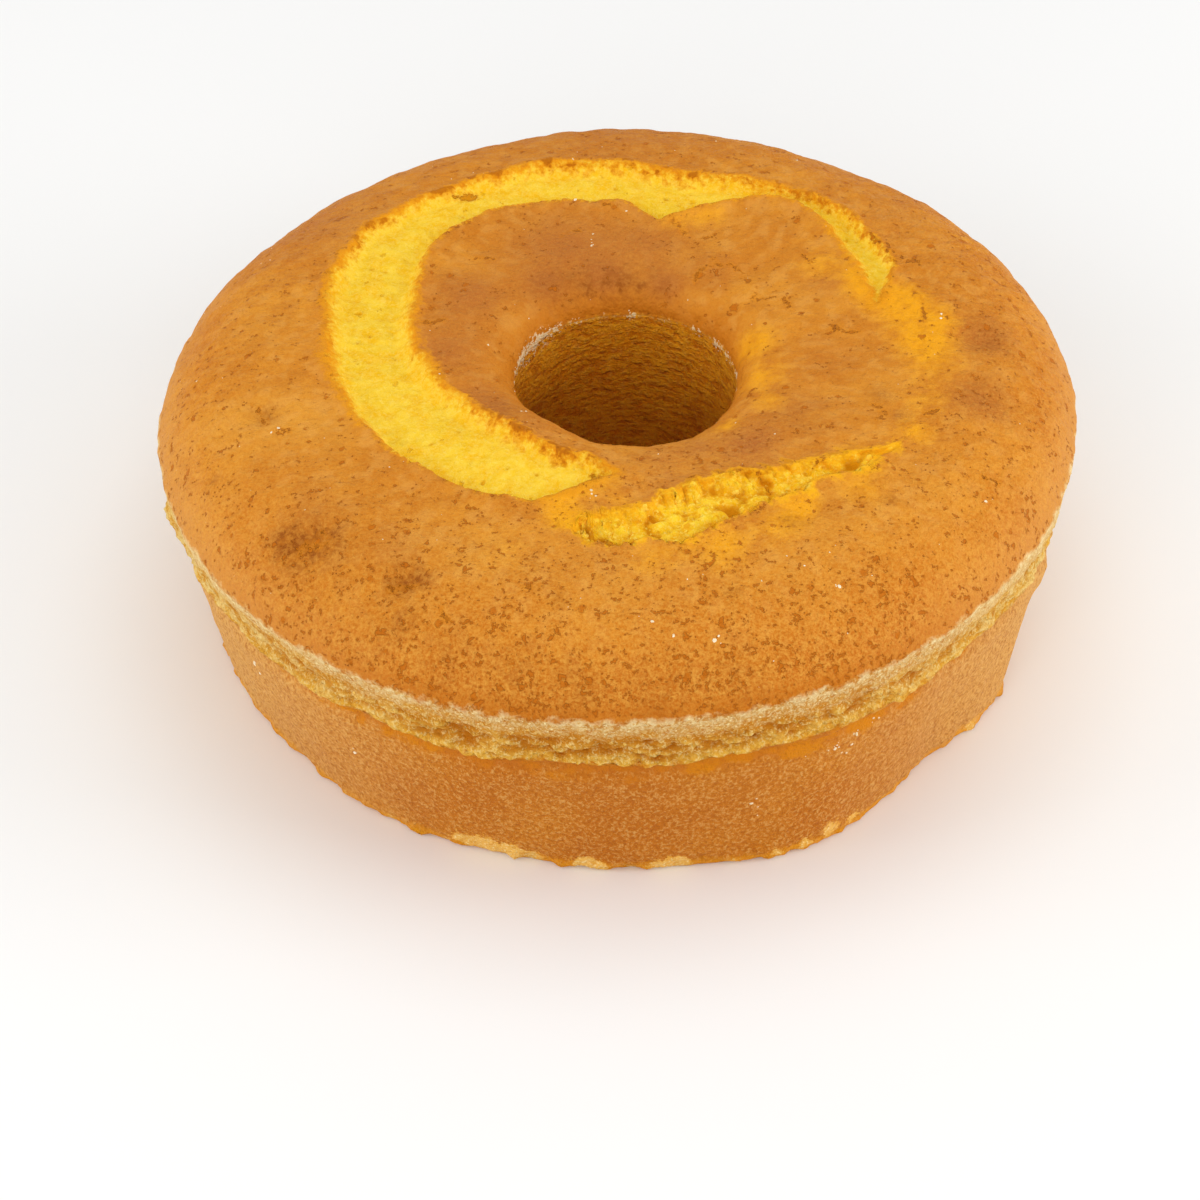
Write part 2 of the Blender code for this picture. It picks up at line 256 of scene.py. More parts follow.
def split_lips(split, angle, torn):
    """Inner and outer lip, and how far an angle lies beyond the split's tips, in radians."""
    turned = np.degrees(angle) % 360
    first, last = split[0][0], split[-1][0]
    past = np.minimum((first - turned) % 360, (turned - last) % 360)
    past = np.radians(np.where((turned >= first) & (turned <= last), 0.0, past))
    inner, outer = lip_curve(split, 1, turned), lip_curve(split, 2, turned)
    fray = LIP_RAGGED * smooth((outer - inner) / SPLIT_FULL_WIDTH)
    lips = []
    for lip, layer in ((inner, len(split)), (outer, len(split) + 1)):
        tear = ragged(angle, layer) + 0.5 * ragged(angle, layer, 2.3)
        tear += (0.3 + 0.7 * torn) * ragged(angle, layer, 5.1)
        tear += (0.2 + 0.3 * torn) * ragged(angle, layer, 11.0)
        lips.append(lip + fray * tear)
    return lips[0], lips[1], past


def into_split(lips, radius):
    """Distance inside a split, in metres: above 0 between its lips."""
    inner, outer, past = lips
    across = np.minimum(radius - inner, outer - radius)
    return np.where(past > 0, -np.hypot(np.minimum(across, 0), past * radius), across)


def split_relief(lips, radius, depth, walls):
    inner, outer, past = lips
    width = np.maximum(outer - inner, 0.01 * MM)
    fullness = smooth(width / SPLIT_FULL_WIDTH) * (past == 0)
    fall = smooth((radius - inner) / np.minimum(walls[0], 0.45 * width))
    fall *= smooth((outer - radius) / np.minimum(walls[1], 0.35 * width))
    across = np.clip((radius - inner) / width, 0, 1)
    floor = depth * (1 - SPLIT_SWELL * (1 - (2 * across - 1) ** 2))
    bead = LIP_BEAD * bump(np.maximum(-into_split(lips, radius), 0), LIP_BEAD_WIDTH)
    return fullness * (bead * (1 - fall) - floor * fall)


# %% [markdown]
# ## The dome and the side
#
# The same formulas as the solid's: a full dome outside the crown, a shoulder that rolls
# down into the hole, and a tin wall with a torn ledge. They could be read off the solid's
# mesh, but its rings are a few millimetres apart, and a crisp torn lip needs finer ones.

# %% Height of the top
CRISP_WALL, SOFT_WALL = 1.5 * MM, 6.5 * MM
SHORT_WALLS = (5.5 * MM, 2.2 * MM)
SHORT_SPLIT_FADE = (298, 322), (1.0, 0.35)
LONG_SPLIT_FADE = (18, 40), (0.4, 1.0)
LONG_SPLIT_TORN = (20, 42, 62), (1.0, 0.7, 0.0)


def hole_radius(angle, plain):
    return plain + HOLE_SHIFT * np.cos(angle - HOLE_SHIFT_ANGLE)


def rise(angle, radius):
    return RISE * np.cos(angle - RISE_ANGLE) * radius / RIM_RADIUS


def dome(angle, radius):
    out = np.clip((radius - CROWN_RADIUS) / (RIM_RADIUS - CROWN_RADIUS), 0, 1)
    rounding = (1 - out**DOME_FULLNESS) ** (1 / DOME_ROUNDNESS)
    reach = SHOULDER_RADIUS - hole_radius(angle, HOLE_RADIUS_TOP)
    into = np.clip((SHOULDER_RADIUS - radius) / reach, 0, 1)
    shoulder = SHOULDER_DROP * (1 - np.sqrt(1 - into**DOME_FULLNESS))
    return RIM_HEIGHT + (CROWN_HEIGHT - RIM_HEIGHT) * rounding - shoulder


def lip_wander(angle, radius):
    near = smooth((SHOULDER_RADIUS + 4 * MM - radius) / (SHOULDER_RADIUS - HOLE_RADIUS_TOP))
    swell = LIP_SWELL * bump(turn(angle, LIP_SWELL_ANGLE), LIP_SPREAD)
    return near * (swell - LIP_SAG * bump(turn(angle, LIP_SAG_ANGLE), LIP_SPREAD))


def spots(angle, radius, table):
    """Sum of round spots, each (degrees, radius, width, amount) with mm for the lengths."""
    total = 0.0
    for turned, out, width, amount in table:
        dx = radius * np.cos(angle) - out * MM * cos(radians(turned))
        dy = radius * np.sin(angle) - out * MM * sin(radians(turned))
        total = total + amount * bump(np.hypot(dx, dy), width * MM)
    return total


def top_height(angle, radius, long_lips, short_lips):
    height = dome(angle, radius) + rise(angle, radius) + lip_wander(angle, radius)
    height += LUMP_HEIGHT * wander(angle, radius, LUMP_SIZE, layer=1)
    walls = [CRISP_WALL + SOFT_WALL * look_at(LONG_LIPS, angle, look) for look in (1, 2)]
    long_depth = LONG_SPLIT_DEPTH * np.interp(np.degrees(angle) % 360, *LONG_SPLIT_FADE)
    height += split_relief(long_lips, radius, long_depth, walls)
    short_depth = SHORT_SPLIT_DEPTH * np.interp(np.degrees(angle) % 360, *SHORT_SPLIT_FADE)
    height += split_relief(short_lips, radius, short_depth, SHORT_WALLS)
    return height - MM * spots(angle, radius, DENTS)


# %% Radius of the side
def rim_radius(angle):
    return RIM_RADIUS + RIM_WOBBLE * wander(angle, RIM_RADIUS, RIM_WOBBLE_SIZE, layer=2)


def foot_radius(angle):
    turned = [np.degrees(turn(angle, radians(at))) for at, wide, out in FOOT_WEAR]
    return FOOT_RADIUS + MM * sum(w[2] * bump(t, w[1]) for t, w in zip(turned, FOOT_WEAR))


def crumb_drop(angle):
    return CRUMB_DROP + CRUMB_DROP_RANGE * wander(angle, RIM_RADIUS, CRUMB_DROP_SIZE, layer=3)


def side_radius(angle, height, rim_height):
    rim = rim_radius(angle)
    wall = foot_radius(angle) + (rim - foot_radius(angle)) * height / rim_height
    below = rim_height - height - crumb_drop(angle)
    facing = 0.4 + 0.6 * bump(turn(angle, GROOVE_SIDE), GROOVE_SPREAD)
    groove = GROOVE_DEPTH * facing * smooth(below / GROOVE_DROP)
    groove = groove * (1 - smooth(below / GROOVE_REACH))
    torn = smooth((rim_height - height) / BAND_DROP - 0.5) * smooth(0.5 - below / GROOVE_DROP)
    crumb = CRUMB_RAGGED * torn * (0.4 + wander(angle, rim, CRUMB_GRAIN, 1.6 * height))
    stuck = np.maximum(0.0, wander(angle, rim, CRUMB_GRAIN, layer=4) - 0.1)
    chip = FOOT_CHIP * smooth(1 - height / FOOT_CHIP_HEIGHT) * stuck
    beads = 0.0
    for at, wide, high, tall, out in SIDE_BEADS:
        round_way = bump(np.degrees(turn(angle, radians(at))), wide)
        beads = beads + out * MM * round_way * bump(height - high * MM, tall * MM)
    return wall - groove - crumb - chip + beads


# %% [markdown]
# ## Rings of the skin
#
# The skin is one closed strip of rings: out over the top, down the side, in along the base
# and up the wall of the hole. Rings crowd where the form turns fast, at the lips, the rim
# and the torn ledge, and thin out on the plain wall. Between the tips of the two splits the
# crowded rings pass from one split to the other.

# %% Ring counts and where rings crowd
SECTIONS = 640
SHOULDER_RINGS, INNER_RINGS, SPLIT_RINGS, OUTER_RINGS = 12, 16, 29, 34
BAND_RINGS, CRUMB_RINGS, GROOVE_RINGS, WALL_RINGS, FOOT_RINGS = 9, 20, 7, 8, 3
HOLE_RINGS = 11
NO_SPLIT_BAND = (75 * MM, 83 * MM)
NARROWEST_BAND = 6 * MM
SHOULDER_RINGS_END = 40 * MM
HANDOVER = (radians(256), radians(272))


def shares(count, ease=1.0):
    """count shares from 0 up to, but not reaching, 1; ease above 1 crowds them at 0."""
    return (np.arange(count) / count) ** ease


def between(start, end, share):
    """A column for each share of the way between two arrays of one value an angle."""
    start, end = np.broadcast_arrays(start, end)
    return start[:, None] + (end - start)[:, None] * share[None, :]


def soften(values, reach=4):
    """A running mean round the cake, so that the crowded rings don't jump at a tip."""
    return sum(np.roll(values, step) for step in range(-reach, reach + 1)) / (2 * reach + 1)


def band_to_crowd(angle, long_lips, short_lips):
    """Inner and outer edge of the crowded rings at every angle."""
    to_short = smooth((angle - HANDOVER[0]) / (HANDOVER[1] - HANDOVER[0]))
    edges = []
    for side in (0, 1):
        long_edge = np.where(long_lips[2] > 0, NO_SPLIT_BAND[side], long_lips[side])
        short_edge = np.where(short_lips[2] > 0, NO_SPLIT_BAND[side], short_lips[side])
        held_long = np.interp(HANDOVER[0], angle, long_edge)
        held_short = np.interp(HANDOVER[1], angle, short_edge)
        edge = held_long + to_short * (held_short - held_long)
        edge = np.where(angle <= HANDOVER[0], long_edge, edge)
        edges.append(np.where(angle >= HANDOVER[1], short_edge, edge))
    spare = np.maximum(0, NARROWEST_BAND - (edges[1] - edges[0])) / 2
    return soften(edges[0] - spare), soften(edges[1] + spare)


# %% Rings of the top
angle = np.arange(SECTIONS) * 2 * pi / SECTIONS
column = angle[:, None]
long_lips = split_lips(LONG_SPLIT, column, torn=np.interp(np.degrees(column), *LONG_SPLIT_TORN))
short_lips = split_lips(SHORT_SPLIT, column, torn=1.0)
flat_lips = [[lip[:, 0] for lip in lips] for lips in (long_lips, short_lips)]
inner, outer = band_to_crowd(angle, *flat_lips)
hole, rim = hole_radius(angle, HOLE_RADIUS_TOP), rim_radius(angle)
shoulder = np.minimum(SHOULDER_RINGS_END, inner - 2 * MM)
across = 0.5 * shares(SPLIT_RINGS) + 0.25 * (1 - np.cos(pi * shares(SPLIT_RINGS)))
top_radius = np.hstack([
    between(hole, shoulder, shares(SHOULDER_RINGS, 1.5)),
    between(shoulder, inner, shares(INNER_RINGS)),
    between(inner, outer, across),
    between(outer, rim, 1 - (1 - shares(OUTER_RINGS)) ** 1.35),
])
top = top_height(column, top_radius, long_lips, short_lips)
print("top", top.shape[1], "rings, highest", round(top.max() / MM, 1), "mm")

# %% Rings of the side, the base and the hole
rim_height = RIM_HEIGHT + rise(angle, rim)
edge = crumb_drop(angle)
band = BAND_DROP + BAND_LEAN * np.cos(angle - BAND_LEAN_ANGLE)
chips_from = rim_height - FOOT_CHIP_HEIGHT
drop = np.hstack([
    between(0 * band, band, shares(BAND_RINGS)),
    between(band, edge, shares(CRUMB_RINGS)),
    between(edge, edge + GROOVE_REACH, shares(GROOVE_RINGS)),
    between(edge + GROOVE_REACH, chips_from, shares(WALL_RINGS)),
    between(chips_from, rim_height - FOOT_ROUND, np.linspace(0, 1, FOOT_RINGS + 1)),
])
side_height = rim_height[:, None] - drop
side = side_radius(column, side_height, rim_height[:, None])

bend = np.radians([30, 60, 90])
foot_radii = side[:, -1:] - FOOT_ROUND * (1 - np.cos(bend))
foot_heights = np.broadcast_to(FOOT_ROUND * (1 - np.sin(bend)), foot_radii.shape)
hole_foot = hole_radius(column, HOLE_RADIUS_FOOT) + FOOT_ROUND
climb = 1 - (1 - shares(HOLE_RINGS)[None, :]) ** 1.9
hole_height = FOOT_ROUND + climb * (top[:, :1] - FOOT_ROUND)
hole_wall = hole_radius(column, HOLE_RADIUS_FOOT + climb * (HOLE_RADIUS_TOP - HOLE_RADIUS_FOOT))
hole_wobble = wander(column, hole_wall, HOLE_WOBBLE_SIZE, hole_height, layer=5)
hole_wall = hole_wall + HOLE_WOBBLE * hole_wobble

radius = np.hstack([top_radius, side, foot_radii, hole_foot, hole_wall])
height = np.hstack([top, side_height, foot_heights, 0 * hole_foot, hole_height])
RINGS = radius.shape[1]
print("skin", SECTIONS, "sections of", RINGS, "rings,", 2 * SECTIONS * RINGS, "triangles")

# %% [markdown]
# ## Marks on the skin
#
# A finish can't be painted on by hand in a script, so the skin carries marks: numbers that
# say, at every point, how deep in a split it lies, how far below the rim, how far down the
# hole. Lengths are in millimetres, so a shader can ask "less than 3 mm from the lip?" and
# get the same answer on every side of the cake. Marks from 0 to 1 say how golden, how dark
# or how floury a place came out of the oven, and are noted as round spots.

# %% How the lips look, right across a split
def lip_look(rows, lips, inner_column, radius):
    """A look of the two lips, blended across the split between them."""
    near_outer = smooth((radius - lips[0]) / np.maximum(lips[1] - lips[0], MM))
    at_inner, at_outer = (look_at(rows, column, look) for look in (inner_column, inner_column + 1))
    return at_inner + (at_outer - at_inner) * near_outer


# %% Spots of the crust: angle in degrees, radius and width in mm, then how much
GOLDEN = (
    (14, 77, 10, 1.0), (5, 79, 10, 0.8), (357, 82, 10, 0.6), (346, 82, 10, 0.4), (336, 83, 7, 0.8),
    (255, 56, 7, 0.5), (259, 64, 6, 0.8), (265, 71, 5, 0.7), (12, 36, 8, 0.9), (350, 38, 8, 0.7),
    (336, 43, 6, 0.5), (318, 37, 5, 0.7), (300, 80, 9, 0.7), (290, 79, 7, 0.6), (318, 83, 8, 0.5),
    (75, 62, 8, 0.5), (68, 66, 6, 0.6), (35, 66, 9, 0.5), (24, 70, 7, 0.7), (250, 80, 9, 0.2),
    (37, 118, 5, 0.9), (9, 85, 7, 0.8), (288, 84, 9, 0.6), (305, 78, 7, 0.7), (276, 82, 8, 0.5),
    (30, 110, 10, 0.3), (253, 58, 6, 0.9), (260, 53, 6, 0.9), (267, 50, 5, 0.7), (324, 76, 9, 0.8),
    (308, 76, 6, 0.8), (282, 78, 6, 0.6), (257, 66, 6, 0.8), (270, 59, 5, 0.5), (20, 73, 8, 0.8),
    (17, 80, 6, 0.7), (28, 72, 5, 0.8), (3, 82, 8, 0.5),
)
PALER = (
    (198, 80, 16, 0.6), (193, 97, 16, 0.7), (190, 110, 12, 0.7), (203, 114, 14, 0.6),
    (321, 117, 12, 0.6), (340, 115, 12, 0.6), (300, 100, 14, 0.3), (350, 72, 12, 0.4),
    (30, 55, 14, 0.3), (62, 55, 9, 0.3), (270, 92, 14, 0.4), (245, 88, 12, 0.4),
    (325, 100, 12, 0.4), (60, 112, 12, 0.3), (170, 100, 14, 0.4),
)

# %% Spots that the oven browned more, noted the same way
SCORCHED = (
    (220, 104, 8, 1.0), (223, 101, 5, 0.7), (217, 107, 5, 0.6), (237, 99, 6, 1.0),
    (240, 98, 4, 0.6), (5, 96, 9, 0.35), (350, 97, 9, 0.3), (241, 109, 5, 0.5), (261, 96, 3, 0.6),
    (287, 97, 3, 0.6), (303, 80, 4, 0.8), (319, 91, 2.5, 0.9), (192, 93, 5, 0.6),
    (200, 111, 3, 0.4), (345, 70, 5, 0.4), (340, 77, 4, 0.4), (98, 33, 10, 0.8), (79, 33, 10, 0.7),
    (117, 35, 9, 0.6), (219, 38, 9, 0.4), (249, 44, 5, 0.4), (225, 104, 18, 0.25),
    (238, 112, 10, 0.2), (248, 113, 10, 0.25), (257, 114, 10, 0.25), (265, 116, 10, 0.3),
    (275, 116, 10, 0.3), (285, 115, 10, 0.2), (330, 55, 9, 0.2),
)
ROSY = (
    (107, 52, 20, 0.9), (145, 47, 16, 0.9), (174, 45, 14, 0.8), (80, 50, 18, 0.7),
    (55, 45, 12, 0.4), (95, 36, 9, 0.9), (70, 36, 8, 0.8), (120, 38, 9, 0.8), (215, 38, 9, 0.7),
    (310, 50, 14, 0.7), (200, 38, 10, 0.6), (235, 37, 8, 0.5), (285, 42, 10, 0.5),
    (300, 40, 8, 0.5), (335, 52, 14, 0.5), (0, 56, 12, 0.3), (285, 54, 10, 0.4),
    (140, 105, 30, 0.5), (90, 108, 34, 0.5), (216, 97, 12, 0.4), (232, 93, 10, 0.4),
    (262, 46, 6, 0.4), (5, 97, 12, 0.9), (349, 95, 12, 0.8), (40, 98, 12, 0.4), (28, 62, 9, 0.4),
    (316, 50, 10, 0.4),
)

# %% Flour at the hole and flecks of it elsewhere
# Flour at the hole: angle, mm below the lip along the surface, width round and down in mm, amount.
FLOURED = (
    (158, 0.8, 4.5, 2.2, 1.0), (147, 0.8, 6.0, 3.0, 1.0), (135, 0.6, 4.5, 2.6, 1.0),
    (125, 0.6, 3.0, 1.7, 0.9), (169, 0.6, 3.0, 1.7, 0.8), (177, 0.2, 1.5, 0.7, 0.7),
    (112, 0.3, 2.0, 0.8, 0.8), (98, 0.5, 1.6, 0.7, 0.7), (84, 0.4, 2.2, 0.7, 0.8),
    (66, 0.6, 1.8, 0.7, 0.7), (48, 0.4, 2.6, 0.9, 0.8), (34, 0.6, 3.0, 1.0, 0.9),
    (20, 0.4, 3.4, 1.1, 0.9), (6, 0.3, 3.6, 1.3, 1.0), (355, 0.4, 2.4, 1.0, 0.8),
    (309, 0.4, 2.6, 1.2, 1.0), (300, 0.3, 1.4, 0.8, 0.7),
)
# Flecks on the crust: angle, radius and width in mm.
FLECKS = (
    (98, 55.7, 1.2), (98, 50.4, 1.0), (98, 44.5, 0.9), (274, 104.1, 2.2), (275, 101.5, 1.6),
    (277, 105.3, 2.0), (258, 106.1, 1.5), (188, 46.3, 0.8), (173, 47.8, 0.8), (201, 35.9, 0.8),
    (212, 36.1, 0.8), (220, 31, 1.2), (222, 33.5, 1.4), (307, 105.6, 1.4), (306, 95.6, 0.9),
    (302, 104.1, 1.2), (120, 91.8, 0.8), (116, 89.4, 1.0), (98, 87.7, 1.5), (99, 69.7, 1.2),
    (196, 91.6, 1.4), (216, 93.9, 0.8), (263, 57, 2.0), (62, 104, 1.5), (10, 86, 1.6),
    (283, 108, 1.2), (330, 108, 1.2),
)

# %% Flecks of the side and chips of the foot
# Flecks: angle, drop below the rim and width in mm, then how much.
SIDE_FLECKS = (
    (298, 26, 2.2, 1.0), (301, 25, 2.4, 1.0), (304, 24, 2.0, 0.8), (297, 33, 1.3, 0.8),
    (288, 29, 1.2, 0.9), (288, 44, 1.2, 0.9), (300, 30, 1.6, 0.8), (294, 27, 1.4, 0.7),
    (214, 30, 1.6, 0.6), (232, 38, 1.2, 0.6), (40, 30, 3.0, 0.8), (95, 26, 3.0, 0.8),
    (140, 34, 3.0, 0.8),
)
# Chips: angle, height above the base and width in mm, then how much.
FOOT_CHIPS = (
    (249, 3.5, 3.6, 0.9), (252, 3, 4.4, 1.0), (255, 2.5, 4.2, 1.0), (258, 2, 3.6, 0.9),
    (265, 2, 4.0, 1.0), (268, 1, 3.0, 0.8), (276, 1.5, 4.2, 1.0), (279, 1.5, 3.6, 0.9),
    (272, 1, 2.4, 0.6), (292, 2, 3.0, 0.6), (296, 3, 3.6, 0.6), (300, 5, 4.4, 0.7),
    (304, 4, 3.4, 0.6), (236, 2, 2.8, 0.6), (286, 1.5, 2.6, 0.6), (245, 2, 2.4, 0.6),
    (228, 1.5, 2.4, 0.5), (310, 2, 2.6, 0.5), (247, 4.5, 3.0, 0.7), (251, 5, 3.4, 0.7),
    (255, 4.5, 3.0, 0.6), (278, 3.5, 3.2, 0.6), (266, 3, 2.6, 0.6), (337, 4, 3.0, 0.5),
    (341, 5, 2.6, 0.5), (330, 2, 3.6, 0.6), (12, 1.5, 4.4, 0.7), (16, 2.5, 3.0, 0.6),
    (19, 1, 2.4, 0.6), (94, 1, 4.0, 0.7), (98, 2, 3.4, 0.6), (151, 2, 3.4, 0.7), (155, 1, 2.2, 0.5),
    (201, 1.5, 2.6, 0.6),
)

# %% [markdown]
# ### Cracks, noted on a picture
#
# A crack is too crooked to note with a ruler. It is easier to say where it starts, bends and
# ends on a square picture of the cake, 1200 pixels a side, taken as the camera of this file
# looks. A ray from the camera through such a pixel meets the top at the crack. Only the
# height there isn't known: it starts at the crown's, and each round of the loop moves it
# half of the way to the dome's height under the place that the ray has reached.

# %% The view, and the place of the top under a pixel
PICTURE_SIDE = 1200
ELEVATION = radians(42.04)
DISTANCE = 1.7
LOOK_AT = Vector((-4.44 * MM, 0.0, -1.62 * MM))
FOCAL_LENGTH, SENSOR_SIDE = 189.7, 36.0
TO_CAMERA = Vector((0, -cos(ELEVATION), sin(ELEVATION)))
PICTURE_UP = Vector((0, sin(ELEVATION), cos(ELEVATION)))
EYE = LOOK_AT + DISTANCE * TO_CAMERA
SETTLING_ROUNDS = 60


def on_dome(x, y):
    """Place of the top, in metres, under a pixel counted from the picture's top left."""
    way = (x - PICTURE_SIDE / 2) * Vector((1, 0, 0)) + (PICTURE_SIDE / 2 - y) * PICTURE_UP
    way -= FOCAL_LENGTH / SENSOR_SIDE * PICTURE_SIDE * TO_CAMERA
    z = CROWN_HEIGHT
    for _ in range(SETTLING_ROUNDS):
        place = EYE + (z - EYE.z) / way.z * way
        turned, out = atan2(place.y, place.x), hypot(place.x, place.y)
        z = (z + float(dome(turned, out) + rise(turned, out))) / 2
    return place


# %% Cracks: half width in mm, then the pixels that each one passes
CRACKS = (
    (0.25, (711, 258), (720, 263), (729, 260)),
    (0.55, (729, 260), (738, 265), (745, 270), (750, 279)),
    (0.2, (754, 285), (752, 297), (772, 297), (784, 299), (786, 306)),
    (0.15, (668, 213), (688, 233), (711, 233)), (0.3, (697, 274), (702, 266)),
    (0.25, (804, 254), (811, 263)), (0.35, (477, 257), (492, 259)), (0.3, (420, 325), (445, 321)),
    (0.45, (874, 403), (885, 412), (879, 423)), (0.4, (927, 414), (938, 409)),
    (0.3, (832, 325), (849, 331), (857, 328)), (0.3, (949, 334), (957, 339)),
    (0.35, (982, 478), (999, 481)), (0.35, (871, 235), (893, 253)), (0.5, (893, 253), (921, 265)),
    (0.1, (915, 292), (927, 306), (924, 322)), (0.3, (938, 312), (952, 318)),
    (0.4, (252, 404), (262, 410), (266, 420)), (0.3, (270, 428), (290, 430)),
    (0.3, (296, 548), (306, 541), (318, 545)), (0.4, (388, 583), (400, 579), (417, 582)),
    (0.3, (318, 530), (330, 540)), (0.25, (440, 610), (446, 622)), (0.3, (520, 585), (534, 588)),
    (0.3, (605, 204), (622, 206)), (0.25, (560, 232), (575, 229)), (0.4, (452, 193), (476, 190)),
    (0.5, (596, 528), (606, 537), (614, 537)), (0.4, (594, 470), (606, 474)),
    (0.3, (738, 472), (746, 468)), (0.1, (812, 466), (826, 462)), (0.25, (690, 480), (700, 477)),
    (0.1, (757, 474), (772, 486)),
)
CRACK_WANDER, CRACK_GRAIN = 1.6 * MM, 3.5 * MM
NO_SPLIT, NO_CRACK = -50.0, 9.0


def to_cracks(cracks):
    """Distance in mm to the nearest crack, less the crack's own half width."""
    stray = [CRACK_WANDER * wander(column, top_radius, CRACK_GRAIN, layer=layer) for layer in (8, 9)]
    x = top_radius * np.cos(column) + stray[0]
    y = top_radius * np.sin(column) + stray[1]
    nearest = np.full(top_radius.shape, NO_CRACK)
    for half_width, *pixels in cracks:
        places = [on_dome(*pixel) for pixel in pixels]
        for start, end in zip(places, places[1:]):
            middle, run = (start + end) / 2, end - start
            length, way = hypot(run.x, run.y), atan2(run.y, run.x)
            dx, dy = x - middle.x, y - middle.y
            along, aside = dx * cos(way) + dy * sin(way), dy * cos(way) - dx * sin(way)
            beyond = np.maximum(np.abs(along) - length / 2, 0)
            nearest = np.minimum(nearest, np.hypot(beyond, aside) / MM - half_width)
    return nearest


print("camera stands", [round(part, 3) for part in EYE], "and", len(CRACKS), "cracks are noted")

# %% Spots of the top as marks
TOP, BASE = top.shape[1], RINGS - HOLE_RINGS - 1


def on_top(values, elsewhere=0.0):
    """A mark worked out on the rings of the top, with one value on all the other rings."""
    whole = np.full(radius.shape, float(elsewhere))
    whole[:, :TOP] = values
    return whole


def marked(table):
    """Sum of the spots on the top, as a mark no higher than 1."""
    return np.clip(spots(column, top_radius, table), 0, 1)


# %% How far a place lies from the rim, in a split and down the hole
to_next = np.hypot(np.roll(radius, -1, 1) - radius, np.roll(height, -1, 1) - height)
along = np.cumsum(to_next, axis=1) - to_next
from_rim = (along - along[:, TOP:TOP + 1]) / MM
in_long, in_short = into_split(long_lips, top_radius), into_split(short_lips, top_radius)
in_short_share = smooth((in_short - in_long) / (2 * MM) + 0.5)
look_long = [lip_look(LONG_LIPS, long_lips, look, top_radius) for look in (1, 3)]
look_short = [lip_look(SHORT_LIPS, short_lips, look, top_radius) for look in (1, 3)]
softness, toast_and_wall_shade = (a + in_short_share * (b - a) for a, b in zip(look_long, look_short))
in_hole = -along / MM
in_hole[:, BASE:] = (to_next.sum(1)[:, None] - along[:, BASE:]) / MM


# %% Spots of the side and at the hole
def on_side(table, level):
    """Spots on the side, whose second number is read against the given level in mm."""
    total = np.zeros(radius.shape)
    for turned, at, width, amount in table:
        round_way = radius * turn(column, radians(turned))
        total = total + amount * bump(np.hypot(round_way, level - at * MM), width * MM)
    total[:, :TOP] = 0
    total[:, BASE + 1:] = 0
    return np.clip(total, 0, 1)


def at_hole(table, depth):
    """Spots at the hole's lip, wider round it than down it."""
    total = np.zeros(radius.shape)
    for turned, at, wide, deep, amount in table:
        round_way = HOLE_RADIUS_TOP * turn(column, radians(turned)) / MM
        total = total + amount * bump(round_way, wide) * bump(depth - at, deep)
    return np.clip(total, 0, 1)


# %% All the marks
SWELL_SIZE, BLOTCH_SIZE, CLUMP_SIZE, FLAKE_SIZE = 26 * MM, 6 * MM, 3.4 * MM, 4 * MM
whole_skin = radius * np.cos(column), radius * np.sin(column), height
marks = {
    "swells": cloudy(whole_skin, SWELL_SIZE, 2),
    "blotches": cloudy(whole_skin, BLOTCH_SIZE, 3),
    "clumps": cloudy(whole_skin, CLUMP_SIZE, 2),
    "layers": cloudy(whole_skin, BLOTCH_SIZE, 3, flatten=2.6),
    "flakes": cloudy(whole_skin, FLAKE_SIZE, 2, flatten=1.8),
    "in_split": on_top(np.maximum(in_long, in_short) / MM, NO_SPLIT),
    "torn_split": on_top(in_short_share),
    "soft_lip": on_top(softness),
    "toast_and_wall_shade": on_top(toast_and_wall_shade),
    "from_rim": from_rim,
    "below_band": from_rim - band[:, None] / MM,
    "below_crumb": from_rim - edge[:, None] / MM,
    "in_hole": in_hole,
    "facing": np.broadcast_to(bump(turn(column, GROOVE_SIDE), GROOVE_SPREAD), radius.shape),
    "golden": on_top(marked(GOLDEN)),
    "paler": on_top(marked(PALER)),
    "scorched": on_top(marked(SCORCHED)),
    "rosy": on_top(marked(ROSY)),
    "to_crack": on_top(to_cracks(CRACKS), NO_CRACK),
    "floured": at_hole(FLOURED, in_hole),
    "flecked": on_top(marked([(*fleck, 1.0) for fleck in FLECKS])) + on_side(
        SIDE_FLECKS, from_rim * MM,
    ),
    "chipped": on_side(FOOT_CHIPS, height),
}
print("marks:", ", ".join(marks))

# %% [markdown]
# ## From rings to a mesh
#
# Ring after ring is sewn to the next with quads, and the last ring to the first, so the
# skin is closed without poles. Each quad runs outwards first and then on round the cake,
# which turns its face out of the dough on the top, the side, the base and in the hole.

# %% An object in the scene, and marks on a mesh
def placed(name, data):
    obj = bpy.data.objects.new(name, data)
    bpy.context.scene.collection.objects.link(obj)
    return obj


def write_marks(mesh, marks):
    for name, values in marks.items():
        attribute = mesh.attributes.new(name, "FLOAT", "POINT")
        attribute.data.foreach_set("value", values.astype(np.float32).ravel())


# %% The skin as a mesh, centred as the solid is
def sewn(angle, radius, height):
    places = np.stack([radius * np.cos(angle), radius * np.sin(angle), height], -1)
    middle = (places.reshape(-1, 3).max(0) + places.reshape(-1, 3).min(0)) / 2
    places = places.reshape(-1, 3) - [middle[0], middle[1], 0]
    here = np.arange(radius.size).reshape(radius.shape)
    out, on = np.roll(here, -1, 1), np.roll(here, -1, 0)
    quads = np.stack([here, out, np.roll(out, -1, 0), on], -1).reshape(-1, 4)
    mesh = bpy.data.meshes.new("cake_body")
    mesh.from_pydata(places.tolist(), [], quads.tolist())
    mesh.shade_smooth()
    return mesh


skin = sewn(column, radius, height)
write_marks(skin, marks)
cake_body = placed("cake_body", skin)
print("sewn:", len(skin.vertices), "points,", len(skin.polygons), "quads")

